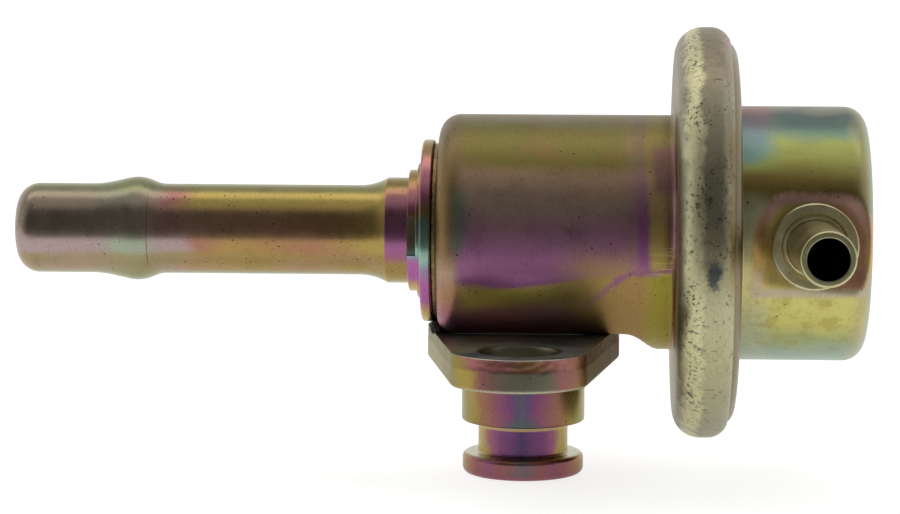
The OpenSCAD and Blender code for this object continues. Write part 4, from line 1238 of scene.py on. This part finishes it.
class REGULATOR_OT_tube(Operator):
    """Make the return tube with its rolled tip, hose bead and flared socket"""

    bl_idname = "regulator.tube"
    bl_label = "Return tube"

    def execute(self, context):
        t = context.scene.regulator_tubes
        r, crest = t.tube_d / 2, t.bead_d / 2
        rise, fall = 3.4 * MM, 1.9 * MM
        path = [
            (r - t.tip_r, -t.tube_reach),
            (r, -t.tube_reach, t.tip_r),
            (r, -t.bead_reach - rise, 8 * MM),
            (crest + 0.06 * MM, -t.bead_reach, 3.2 * MM),
            (r, -t.bead_reach + fall, 2.4 * MM),
            (r, -t.socket_from - t.flare, 5 * MM),
            (t.socket_d / 2, -t.socket_from, 0.25 * MM),
            (t.socket_d / 2, -t.lock_from),
        ]
        outer = rounded(path, False)
        inner = rounded(moved(path, t.tube_wall), False)
        outline = refined(outer + inner[::-1], True, 0.7 * MM)
        mesh = turned(context, outline, tube_zinc())
        rippled(mesh, 0.008 * MM, 6 * MM, 3)
        as_piece(context, "tube_beaded", mesh, "outlet_tube", HOUSING)
        return {"FINISHED"}


def lump(bm, middle, halves):
    """Adds a bead of braze: a ball drawn out to those half sizes, with full ends, uneven as it cooled."""
    rings, sides = 24, 48
    long = halves.index(max(halves))

    def spot(ring, side):
        down, round_by = math.pi * ring / rings, math.tau * side / sides
        across = math.sin(down)
        unit = Vector((across * math.cos(round_by), across * math.sin(round_by), math.cos(down)))
        unit[long] = math.copysign(abs(unit[long]) ** 0.5, unit[long])
        uneven = 1 + 0.06 * noise.noise(unit * 3.0)
        return bm.verts.new([m + c * h * uneven for m, c, h in zip(middle, unit, halves)])

    top, bottom = spot(0, 0), spot(rings, 0)
    grid = [[spot(ring, side) for side in range(sides)] for ring in range(1, rings)]
    for i in range(sides):
        k = (i + 1) % sides
        bm.faces.new((top, grid[0][i], grid[0][k]))
        bm.faces.new((bottom, grid[-1][k], grid[-1][i]))
        for upper, lower in zip(grid, grid[1:]):
            bm.faces.new((upper[i], lower[i], lower[k], upper[k]))


class REGULATOR_OT_closed_end(Operator):
    """Turn the seat stem and the rings that hold it on the body's closed end"""

    bl_idname = "regulator.closed_end"
    bl_label = "Closed end stack"

    def execute(self, context):
        s, t = context.scene.regulator_shells, context.scene.regulator_tubes
        neck = t.neck_d / 2
        floor = s.sheet - s.body_back
        nose = t.tube_d / 2 - t.tube_wall - FIT
        socket = t.socket_d / 2 - t.tube_wall - FIT
        lean = math.atan2((t.socket_d - t.tube_d) / 2, t.flare)
        flare = -t.socket_from + t.tube_wall * math.tan(lean / 2)
        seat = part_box("seat_stem")[1][0]
        bore, post, head, head_t, tip = 2.1 * MM, 3.5 * MM, 6 * MM, 1.2 * MM, 2.8 * MM
        nose_end = flare - t.flare - 3.8 * MM
        stem = rounded([
            (bore, nose_end, EDGE),
            (nose, nose_end, 0.3 * MM),
            (nose, flare - t.flare + 2 * FIT),
            (socket, flare + 2 * FIT),
            (socket, -t.lock_from, EDGE),
            (neck, -t.lock_from, EDGE),
            (neck, floor, EDGE),
            (head, floor, EDGE),
            (head, floor + head_t, 0.2 * MM),
            (post, floor + head_t, 0.3 * MM),
            (post, seat - 1 * MM, 0.1 * MM),
            (tip, seat, EDGE),
            (bore, seat, EDGE),
        ], True)
        mesh = turned(context, stem, turned_steel("turned_stem_steel"))
        as_piece(context, "stem_turned", mesh, "seat_stem", HOUSING)

        lock, base = t.lock_d / 2, t.lock_base_d / 2
        base_at = -t.washer_from - 0.4 * MM
        ring = rounded([
            (neck + FIT, -t.lock_from, EDGE),
            (lock, -t.lock_from, 0.18 * MM),
            (lock, base_at),
            (base, base_at, 0.12 * MM),
            (base, -t.washer_from, EDGE),
            (neck + FIT, -t.washer_from, EDGE),
        ], True)
        coat = stack_zinc("yellow_zinc_lock_ring", 5.5, 0.004, (lock - t.slot_deep) / MM)
        blank = cleaned(turned(context, ring, coat))
        deep = 3 * MM
        values = {
            "Slots": t.slots,
            "Reach": lock - t.slot_deep + deep / 2,
            "Cutter": (deep, t.slot_w, 2 * (base_at + t.lock_from)),
            "Turn": (-math.pi / 2, 0.0, -math.pi / 2),
            "Place": (-t.lock_from, 0.0, s.axis_h),
            "Material": coat,
        }
        mesh = run_tree(context, "Slotted ring", slotted_tree, blank, values)
        as_piece(context, "lock_ring_slotted", mesh, "lock_ring", HOUSING)

        washer = rounded([
            (neck + FIT, -t.washer_from, EDGE),
            (t.washer_d / 2, -t.washer_from, 0.3 * MM),
            (t.washer_d / 2, -t.seal_from, 0.22 * MM),
            (neck + FIT, -t.seal_from, EDGE),
        ], True)
        coat = stack_zinc("yellow_zinc_end_washer", 8.1, 0.0)
        mesh = turned(context, refined(washer, True, 0.8 * MM), coat)
        as_piece(context, "end_washer_blanked", mesh, "end_washer", HOUSING)

        seal = rounded([
            (neck + FIT, -t.seal_from, EDGE),
            (t.seal_d / 2, -t.seal_from, 0.12 * MM),
            (t.seal_d / 2, -s.body_back, 0.12 * MM),
            (neck + FIT, -s.body_back, EDGE),
        ], True)
        mesh = turned(context, refined(seal, True, 0.6 * MM), braze_metal())
        rippled(mesh, 0.05 * MM, 1.4 * MM, 4)
        bm = bmesh.new()
        bm.from_mesh(mesh)
        level = context.scene.regulator_flange.thick
        foot = math.sqrt((s.body_d / 2) ** 2 - (s.axis_h - level) ** 2)
        heel, heel_halves = 0.12 * MM - s.body_back, (0.85 * MM, foot - 0.4 * MM, 0.62 * MM)
        seam, seam_halves = -0.3 * MM, (5.8 * MM, 0.12 * MM, 0.1 * MM)
        lump(bm, (heel, 0.0, level), heel_halves)
        for side in (-1, 1):
            lump(bm, (seam, side * foot, level), seam_halves)
        bm.to_mesh(mesh)
        bm.free()
        as_piece(context, "seal_washer_brazed", mesh, "seal_washer", HOUSING)
        return {"FINISHED"}


def plate_outline(f):
    """The plate's outline with its outward directions: round middle, tapered sides, blunt ends."""
    side = Vector((-math.sin(f.taper), math.cos(f.taper)))
    out = Vector((math.cos(f.taper), math.sin(f.taper)))
    end = Vector((0.0, f.bolt_spacing / 2 + f.end_m - f.end_r))
    start = out * (f.mid_r - f.corner_r) - end
    along = start.dot(side)
    reach = (f.end_r - f.corner_r) ** 2 - start.length_squared + along * along
    corner_at = end + start + side * (math.sqrt(reach) - along)
    meet = math.atan2(corner_at.y - end.y, corner_at.x)
    runs = [
        (Vector((0.0, 0.0)), f.mid_r, 0.0, f.taper),
        (corner_at, f.corner_r, f.taper, meet),
        (end, f.end_r, meet, math.pi / 2),
    ]
    quarter, step = [], 0.25 * MM
    for centre, radius, a, b in runs:
        steps = max(2, math.ceil(radius * (b - a) / step))
        spots = [a + (b - a) * k / steps for k in range(steps + 1)]
        spots = [(centre + radius * Vector((math.cos(q), math.sin(q))), q) for q in spots]
        if quarter:
            last, angle = quarter[-1]
            gap = (spots[0][0] - last).length
            parts = math.ceil(gap / step)
            quarter += [(last.lerp(spots[0][0], k / parts), angle) for k in range(1, parts)]
            spots = spots if gap > 1e-7 else spots[1:]
        quarter += spots
    half = quarter + [(Vector((-p.x, p.y)), math.pi - q) for p, q in quarter[-2::-1]]
    whole = half + [(Vector((p.x, -p.y)), -q) for p, q in half[-2:0:-1]]
    return [(p, Vector((math.cos(q), math.sin(q)))) for p, q in whole]


class REGULATOR_OT_flange(Operator):
    """Blank the mounting plate, with the die roll and the torn zone of its sheared edge"""

    bl_idname = "regulator.flange"
    bl_label = "Mounting flange"

    def execute(self, context):
        f = context.scene.regulator_flange
        # Rows of points up the edge, in millimetres for a plate of the drawn thickness
        drawn = 2.8
        rows = [0.0, 0.02, 0.05, 0.09, 0.14, 0.22, 0.4, 0.65, 0.9]
        rows += [1.1 + 0.12 * k for k in range(14)] + [2.76, drawn]
        heights = [z * MM * f.thick / (drawn * MM) for z in rows]
        shear_h, tear_h, burr_in = 1.75 * MM, 0.1 * MM, 0.05 * MM

        def tuck(p, z):
            """How far the sheared edge lies inside the outline."""
            roll = f.die_roll
            inside = roll - math.sqrt(max(roll * roll - (roll - z) ** 2, 0.0)) if z < roll else 0.0
            jag = noise.noise(Vector((p.x, p.y, 0.0)) / (1.3 * MM)) * 0.16 * MM
            jag += noise.noise(Vector((p.x, p.y, 5.0 * MM)) / (0.5 * MM)) * 0.08 * MM
            torn = min(max((z - shear_h - jag) / tear_h, 0.0), 1.0)
            rough = 0.6 + 0.8 * noise.noise(Vector((p.x, p.y, z)) / (0.4 * MM))
            burr = burr_in if z >= heights[-1] else 0.0
            return 0.8 * inside + torn * f.torn * rough + burr

        bm = bmesh.new()
        outline = plate_outline(f)
        grid = [[bm.verts.new((*(p - n * tuck(p, z)), z)) for p, n in outline] for z in heights]
        rims = {0: [grid[0]], 1: [grid[-1]]}
        count = len(outline)
        for lower, upper in zip(grid, grid[1:]):
            for i in range(count):
                k = (i + 1) % count
                bm.faces.new((lower[i], lower[k], upper[k], upper[i]))
        holes = [(0.0, f.shoulder_d / 2 + FIT)]
        holes += [(s * f.bolt_spacing / 2, f.bolt_hole / 2) for s in (-1, 1)]
        for y, radius in holes:
            # Height and how far the hole opens there: the bolt holes are rounded at both ends
            levels = [(0.0, 0.1), (0.1, 0.0), (2.5, 0.0), (2.62, 0.03), (2.74, 0.1), (drawn, 0.22)]
            if y == 0.0:
                levels = [(0.0, 0.0), (drawn, 0.0)]
            angles = [math.tau * k / ROUND for k in range(ROUND)]
            rings = []
            for z, open_by in levels:
                wide = radius + open_by * MM
                ring = [(wide * math.cos(a), y + wide * math.sin(a), z * MM) for a in angles]
                rings.append([bm.verts.new(spot) for spot in ring])
            for lower, upper in zip(rings, rings[1:]):
                for i in range(ROUND):
                    k = (i + 1) % ROUND
                    bm.faces.new((upper[i], upper[k], lower[k], lower[i]))
            rims[0].append(rings[0])
            rims[1].append(rings[-1])
        for loops in rims.values():
            edges = []
            for loop in loops:
                for a, b in zip(loop, loop[1:] + loop[:1]):
                    edges.append(bm.edges.get((a, b)) or bm.edges.new((a, b)))
            bmesh.ops.triangle_fill(bm, edges=edges, use_beauty=True)
        mesh = bpy.data.meshes.new("flange_blanked")
        bm.to_mesh(mesh)
        bm.free()
        mesh.materials.append(flange_zinc())
        as_piece(context, "flange_blanked", mesh, "mounting_flange", HOUSING)
        return {"FINISHED"}


class REGULATOR_OT_spigot(Operator):
    """Turn the inlet spigot with its ring groove"""

    bl_idname = "regulator.spigot"
    bl_label = "Inlet spigot"

    def execute(self, context):
        s, f = context.scene.regulator_shells, context.scene.regulator_flange
        groove_top = -f.spigot_len
        toe_top = groove_top - f.groove_w
        toe_end = toe_top - f.toe_t
        top = f.thick + s.sheet + 0.6 * MM
        outline = rounded([
            (f.inlet_bore / 2, toe_end, 0.2 * MM),
            (f.toe_d / 2, toe_end, 0.6 * MM),
            (f.toe_d / 2, toe_top, 0.5 * MM),
            (f.groove_d / 2, toe_top, 0.25 * MM),
            (f.groove_d / 2, groove_top, 0.2 * MM),
            (f.spigot_d / 2, groove_top, 0.25 * MM),
            (f.spigot_d / 2, 0.0),
            (f.shoulder_d / 2, 0.0),
            (f.shoulder_d / 2, f.thick, 0.05 * MM),
            (f.neck_d / 2, f.thick, 0.05 * MM),
            (f.neck_d / 2, top, 0.1 * MM),
            (f.inlet_bore / 2, top, 0.1 * MM),
        ], True)
        outline = refined(outline, True, 0.6 * MM)
        mesh = turned(context, outline, spigot_zinc(), turn=(0.0, 0.0, 0.0), place=(0.0, 0.0, 0.0))
        as_piece(context, "spigot_turned", mesh, "inlet_spigot", HOUSING)
        return {"FINISHED"}


class REGULATOR_OT_nipple(Operator):
    """Turn the vacuum nipple with its collar"""

    bl_idname = "regulator.nipple"
    bl_label = "Vacuum nipple"

    def execute(self, context):
        s, t = context.scene.regulator_shells, context.scene.regulator_tubes
        base = s.cap_flat - s.sheet - 0.5 * MM
        shoulder = s.cap_flat + 1.0 * MM
        outline = rounded([
            (t.nipple_bore / 2, base, 0.05 * MM),
            (t.nipple_d / 2, base, 0.05 * MM),
            (t.nipple_d / 2, s.cap_flat),
            (t.collar_d / 2, s.cap_flat),
            (t.collar_d / 2, shoulder, 0.22 * MM),
            (t.nipple_d / 2 + 0.5 * MM, shoulder, 0.1 * MM),
            (t.nipple_d / 2 + 0.42 * MM, shoulder - 0.22 * MM, EDGE),
            (t.nipple_d / 2, shoulder - 0.22 * MM, 0.25 * MM),
            (t.nipple_d / 2, t.nipple_reach, 0.25 * MM),
            (t.nipple_bore / 2, t.nipple_reach, 0.15 * MM),
        ], True)
        outline = refined(outline, True, 0.6 * MM)
        turn, place = (math.pi / 2, 0.0, t.nipple_lean), (t.nipple_at, 0.0, s.axis_h)
        mesh = turned(context, outline, nipple_zinc(), turn=turn, place=place)
        as_piece(context, "nipple_turned", mesh, "vacuum_nipple", HOUSING)
        return {"FINISHED"}


def valve_places(context):
    """Places along the main axis of the membrane and of the valve that hangs on it."""
    s, v = context.scene.regulator_shells, context.scene.regulator_valve
    floor = s.body_front + s.sheet
    at = {"floor": floor, "membrane": floor + (s.bead_t - v.membrane_t) / 2}
    at["plate"] = at["membrane"] - v.plate_t
    at["spring"] = at["membrane"] + v.membrane_t + v.plate_t
    at["holder"] = at["plate"] - v.holder_t
    at["mouth"] = at["holder"] - v.mouth_h
    at["disc"] = at["mouth"] - v.disc_gap
    at["seat"] = at["disc"] - v.disc_t
    at["ball"] = at["disc"] + v.ball_d / 2 - v.dimple
    at["bore_end"] = at["spring"] + v.rivet_h - 0.6 * MM
    at["cap"] = s.body_front + s.rim_w + s.cap_len - s.sheet
    return at


class REGULATOR_OT_membrane(Operator):
    """Mould the membrane: its bead stays in the rim, its middle lifts with the valve"""

    bl_idname = "regulator.membrane"
    bl_label = "Membrane"

    def execute(self, context):
        s, v = context.scene.regulator_shells, context.scene.regulator_valve
        at = valve_places(context)
        low, top, thick = at["membrane"], at["membrane"] + v.fold_h, v.membrane_t
        skirt = s.rim_d / 2 - s.sheet - s.rim_fit
        bead_in = skirt - v.bead_w
        fold_out = bead_in - 0.8 * MM
        crest = (v.fold_in + fold_out) / 2
        rubber = membrane_rubber()
        inner = [
            (v.shank_d / 2 + FIT, low),
            (v.fold_in, low, 0.6 * MM),
            (v.fold_in + 1 * MM, top, 0.8 * MM),
            (crest, top),
        ]
        outline = rounded(inner, False) + rounded(moved(inner, thick), False)[::-1]
        mesh = turned(context, refined(outline, True, 0.8 * MM), rubber)
        as_piece(context, "diaphragm_web", mesh, "diaphragm", VALVE)

        outer = [
            (crest, top),
            (fold_out - 1 * MM, top, 0.8 * MM),
            (fold_out, low, 0.6 * MM),
            (bead_in, low),
        ]
        fill = s.rim_corner - s.sheet
        end = at["floor"] + s.bead_t
        round_end = -math.asin(max(fill - s.bead_t, 0.0) / fill)
        outline = rounded(outer, False)
        outline += [(bead_in, at["floor"])]
        outline += arc((skirt - fill, at["floor"] + fill), fill, -math.pi / 2, round_end)
        outline += [(bead_in, end)]
        outline += rounded(moved(outer, thick), False)[::-1]
        mesh = turned(context, refined(outline, True, 0.8 * MM), rubber)
        bead = as_piece(context, "diaphragm_bead", mesh, "diaphragm", None, sharp=40.0)
        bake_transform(bead)
        return {"FINISHED"}


class REGULATOR_OT_valve(Operator):
    """Turn the plates, the riveted holder, the disc and the ball that the membrane carries"""

    bl_idname = "regulator.valve"
    bl_label = "Valve"

    def execute(self, context):
        v = context.scene.regulator_valve
        at = valve_places(context)
        steel = turned_steel("turned_valve_steel")
        hole, shank = v.shank_d / 2 + FIT, v.shank_d / 2
        plate = [
            (hole, at["plate"], EDGE),
            (v.plate_d / 2, at["plate"], 0.2 * MM),
            (v.plate_d / 2, at["membrane"], EDGE),
            (hole, at["membrane"], EDGE),
        ]
        pan = [
            (hole, at["membrane"] + v.membrane_t),
            (v.seat_d / 2, at["membrane"] + v.membrane_t, 1 * MM),
            (v.seat_d / 2, at["spring"] + v.seat_h),
        ]
        holder = [
            (0.0, at["spring"] + v.rivet_h),
            (v.rivet_d / 2 - 0.4 * MM, at["spring"] + v.rivet_h, 0.25 * MM),
            (v.rivet_d / 2, at["spring"], EDGE),
            (shank, at["spring"]),
            (shank, at["plate"]),
            (v.holder_d / 2, at["plate"], EDGE),
            (v.holder_d / 2, at["holder"], 0.12 * MM),
            (v.mouth_d / 2, at["holder"], 0.2 * MM),
            (v.mouth_d / 2, at["mouth"], 0.15 * MM),
            (v.retainer_d / 2 + FIT, at["mouth"], 0.05 * MM),
            (v.retainer_d / 2 + FIT, at["mouth"] + v.retainer_t),
            (v.ball_d / 2 + 0.05 * MM, at["mouth"] + v.retainer_t, 0.05 * MM),
            (v.ball_d / 2 + 0.05 * MM, at["bore_end"], 0.15 * MM),
            (0.0, at["bore_end"]),
        ]
        ball_r, deep = v.ball_d / 2, at["ball"] - at["disc"]
        disc = [
            (0.0, at["seat"]),
            (v.disc_d / 2, at["seat"], 0.12 * MM),
            (v.disc_d / 2, at["disc"], 0.12 * MM),
            *arc((0.0, at["ball"]), ball_r, -math.asin(deep / ball_r), -math.pi / 2),
        ]
        ball = arc((0.0, at["ball"]), ball_r - 0.01 * MM, -math.pi / 2, math.pi / 2)
        back = at["ball"] - at["mouth"] - v.retainer_t
        ring_in = math.sqrt(ball_r * ball_r - back * back) + 0.025 * MM
        ring = [
            (ring_in, at["mouth"], 0.04 * MM),
            (v.retainer_d / 2, at["mouth"], EDGE),
            (v.retainer_d / 2, at["mouth"] + v.retainer_t, EDGE),
            (ring_in, at["mouth"] + v.retainer_t, 0.04 * MM),
        ]
        pan_wall = rounded(pan, False) + rounded(moved(pan, v.plate_t), False)[::-1]
        made = [
            ("plate_pressed", "diaphragm_plate", rounded(plate, True), True, steel),
            ("spring_seat_pressed", "spring_seat", pan_wall, True, steel),
            ("holder_turned", "valve_holder", rounded(holder, False), False, steel),
            ("disc_turned", "valve_plate", rounded(disc, False), False, steel),
            ("retainer_ring", "ball_retainer", rounded(ring, True), True, steel),
            ("ball_polished", "valve_ball", ball, False, polished_ball()),
        ]
        for name, node, outline, closed, coat in made:
            mesh = turned(context, refined(outline, closed, 1.2 * MM), coat, closed=closed)
            as_piece(context, name, mesh, node, VALVE)
        return {"FINISHED"}


class REGULATOR_OT_springs(Operator):
    """Wind the main spring under the cap and the small spring behind the ball"""

    bl_idname = "regulator.springs"
    bl_label = "Springs"

    def execute(self, context):
        s, v = context.scene.regulator_shells, context.scene.regulator_valve
        at = valve_places(context)
        wire = spring_steel()

        def coil(diameter, thick, start, end, turns, sunk, sides):
            values = {
                "Radius": diameter / 2,
                "Wire": thick,
                "Height": end - start,
                "Turns": turns,
                "Sunk": sunk,
                "Steps": round(turns * 40) + 1,
                "Sides": sides,
                "Place": (start, 0.0, s.axis_h),
                "Material": wire,
            }
            seed = bpy.data.meshes.new("seed")
            return run_tree(context, "Coil spring", coil_tree, seed, values)

        mesh = coil(v.spring_d, v.spring_wire, at["spring"], at["cap"], v.spring_turns, 0.2, 20)
        spring = as_piece(context, "main_spring_coil", mesh, "main_spring", HOUSING)
        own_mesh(spring)

        reach = v.ball_d / 2 + v.ball_wire / 2 + 0.03 * MM
        start = at["ball"] + math.sqrt(reach**2 - v.ball_spring_d**2 / 4) - v.ball_wire / 2
        mesh = coil(v.ball_spring_d, v.ball_wire, start, at["bore_end"], v.ball_turns, 0.0, 12)
        as_piece(context, "ball_spring_coil", mesh, "ball_spring", VALVE)
        return {"FINISHED"}


# Stage


class REGULATOR_OT_stage(Operator):
    """Lay the pale floor, hang the soft box and set the camera"""

    bl_idname = "regulator.stage"
    bl_label = "Stage"

    def execute(self, context):
        g = context.scene.regulator_stage
        scene = context.scene
        scene.view_settings.view_transform = "Standard"

        mesh = bpy.data.meshes.new("studio_floor")
        bm = bmesh.new()
        half, front, back = 1.5, -g.floor_front, 2.5
        corners = ((-half, front), (half, front), (half, back), (-half, back))
        bm.faces.new([bm.verts.new((x, y, g.floor_z)) for x, y in corners])
        bm.to_mesh(mesh)
        bm.free()
        floor = bpy.data.objects.new("studio_floor", mesh)
        scene.collection.objects.link(floor)
        paper = bpy.data.materials.new("studio_paper")
        paper.use_nodes = True
        tree = paper.node_tree
        tree.nodes.clear()
        # The camera sees the paper a little softer, so that its shadow stays faint
        seen = add(tree, "ShaderNodeLightPath").outputs["Is Camera Ray"]
        values = {0: seen, 6: (*g.floor, 1.0), 7: (0.5, 0.5, 0.5, 1.0)}
        tone = add(tree, "ShaderNodeMix", values, data_type="RGBA")
        glow = add(tree, "ShaderNodeMapRange", {0: seen, 3: 0.45, 4: 0.8})
        sheet = add(tree, "ShaderNodeBsdfDiffuse", {0: tone.outputs[2]})
        light = add(tree, "ShaderNodeEmission", {1: glow.outputs[0]})
        both = add(tree, "ShaderNodeAddShader", {0: sheet.outputs[0], 1: light.outputs[0]})
        add(tree, "ShaderNodeOutputMaterial", {0: both.outputs[0]})
        mesh.materials.append(paper)

        world = bpy.data.worlds.new("studio_room")
        world.use_nodes = True
        scene.world = world
        tree = world.node_tree
        tree.nodes.clear()
        way = add(tree, "ShaderNodeTexCoord").outputs["Generated"]
        part = add(tree, "ShaderNodeSeparateXYZ", {0: way}).outputs
        rays = add(tree, "ShaderNodeLightPath").outputs
        known = {"y": part[1], "z": part[2], "camera": rays["Is Camera Ray"]}
        known |= {"glossy": rays["Is Glossy Ray"], "glass": rays["Is Transmission Ray"]}
        worked_out(tree, known, [
            # The room is dark in front, behind the camera, and bright above and at the sides
            ("z_squared", "MULTIPLY", "z", "z"),
            ("level_squared", "SUBTRACT", 1.0, "z_squared"),
            ("level", "SQRT", "level_squared"),
            ("some_level", "MAXIMUM", "level", 0.001),
            ("front", "MULTIPLY", "y", -1.0),
            ("ahead", "DIVIDE", "front", "some_level"),
            ("in_front", "SMOOTHSTEP", "ahead", 0.1, 0.8, 0.0, 1.0),
            ("not_above", "SMOOTHSTEP", "z", 0.72, 0.94, 1.0, 0.0),
            ("not_below", "SMOOTHSTEP", "z", -0.3, 0.02, 0.75, 1.0),
            ("wall", "MULTIPLY", "in_front", "not_above"),
            ("shade", "MULTIPLY", "wall", "not_below"),
            ("plain", "MULTIPLY_ADD", "shade", -0.5, 0.62),
            ("at_back", "SMOOTHSTEP", "y", 0.1, 0.6, 0.0, 1.0),
            ("low", "SMOOTHSTEP", "z", 0.25, 0.75, 1.0, 0.0),
            ("behind", "MULTIPLY", "at_back", "low"),
            ("strength", "MULTIPLY_ADD", "behind", 0.3, "plain"),
            # The camera sees white all round, and metal and glass see it where they mirror the backdrop
            ("mirrored", "MAXIMUM", "glossy", "glass"),
            ("backdrop", "MULTIPLY", "mirrored", "behind"),
            ("seen", "MAXIMUM", "camera", "backdrop"),
        ])
        room = add(tree, "ShaderNodeBackground", {0: (1.0, 1.0, 1.0, 1.0), 1: known["strength"]})
        white = add(tree, "ShaderNodeBackground", {0: (1.0, 1.0, 1.0, 1.0), 1: 1.0})
        values = {0: known["seen"], 1: room.outputs[0], 2: white.outputs[0]}
        both = add(tree, "ShaderNodeMixShader", values)
        add(tree, "ShaderNodeOutputWorld", {0: both.outputs[0]})

        lamp = bpy.data.lights.new("soft_box", "AREA")
        lamp.shape = "RECTANGLE"
        lamp.size, lamp.size_y = 0.7, 0.15
        lamp.energy = g.soft_box
        box = bpy.data.objects.new("soft_box", lamp)
        lean, away = math.radians(12), 0.41
        box.location = (0.0, away * math.sin(lean), away * math.cos(lean))
        box.rotation_euler = (-lean, 0.0, 0.0)
        scene.collection.objects.link(box)

        e, w, r = g.elevation, g.azimuth, g.roll
        right = Vector((math.cos(w), math.sin(w), 0.0))
        ahead = Vector((-math.sin(w) * math.cos(e), math.cos(w) * math.cos(e), -math.sin(e)))
        up = Vector((-math.sin(w) * math.sin(e), math.cos(w) * math.sin(e), math.cos(e)))
        right, up = right * math.cos(r) + up * math.sin(r), up * math.cos(r) - right * math.sin(r)
        lens = bpy.data.cameras.new("photo_camera")
        lens.sensor_fit = "HORIZONTAL"
        lens.sensor_width = 36.0
        lens.lens = g.lens
        lens.clip_start, lens.clip_end = 0.01, 20.0
        camera = bpy.data.objects.new("photo_camera", lens)
        spot = right * g.aside + up * g.above - ahead * g.distance
        camera.matrix_world = Matrix.Translation(spot) @ Matrix((right, up, -ahead)).transposed().to_4x4()
        scene.collection.objects.link(camera)
        scene.camera = camera
        return {"FINISHED"}


class REGULATOR_PT_panel(Panel):
    """Lists the pieces in the order in which they are made"""

    bl_idname = "REGULATOR_PT_panel"
    bl_label = "Fuel Pressure Regulator"
    bl_space_type = "VIEW_3D"
    bl_region_type = "UI"
    bl_category = "Regulator"

    def draw(self, context):
        for maker in MAKERS:
            self.layout.operator(maker.bl_idname)
        for name in GROUPS:
            box = self.layout.box()
            group = getattr(context.scene, name)
            for prop in group.bl_rna.properties:
                if prop.identifier not in {"rna_type", "name"}:
                    box.prop(group, prop.identifier)


GROUPS = {
    "regulator_shells": REGULATOR_PG_shells,
    "regulator_tubes": REGULATOR_PG_tubes,
    "regulator_flange": REGULATOR_PG_flange,
    "regulator_valve": REGULATOR_PG_valve,
    "regulator_finish": REGULATOR_PG_finish,
    "regulator_stage": REGULATOR_PG_stage,
}
MAKERS = (
    REGULATOR_OT_stage,
    REGULATOR_OT_body,
    REGULATOR_OT_cap,
    REGULATOR_OT_tube,
    REGULATOR_OT_closed_end,
    REGULATOR_OT_flange,
    REGULATOR_OT_spigot,
    REGULATOR_OT_nipple,
    REGULATOR_OT_membrane,
    REGULATOR_OT_valve,
    REGULATOR_OT_springs,
)


def register():
    for kind in (*GROUPS.values(), *MAKERS, REGULATOR_PT_panel):
        bpy.utils.register_class(kind)
    for name, kind in GROUPS.items():
        setattr(bpy.types.Scene, name, PointerProperty(type=kind))


def unregister():
    for name in GROUPS:
        delattr(bpy.types.Scene, name)
    for kind in reversed((*GROUPS.values(), *MAKERS, REGULATOR_PT_panel)):
        bpy.utils.unregister_class(kind)


def main():
    register()
    for maker in MAKERS:
        group, name = maker.bl_idname.split(".")
        getattr(getattr(bpy.ops, group), name)()


if __name__ == "__main__":
    main()
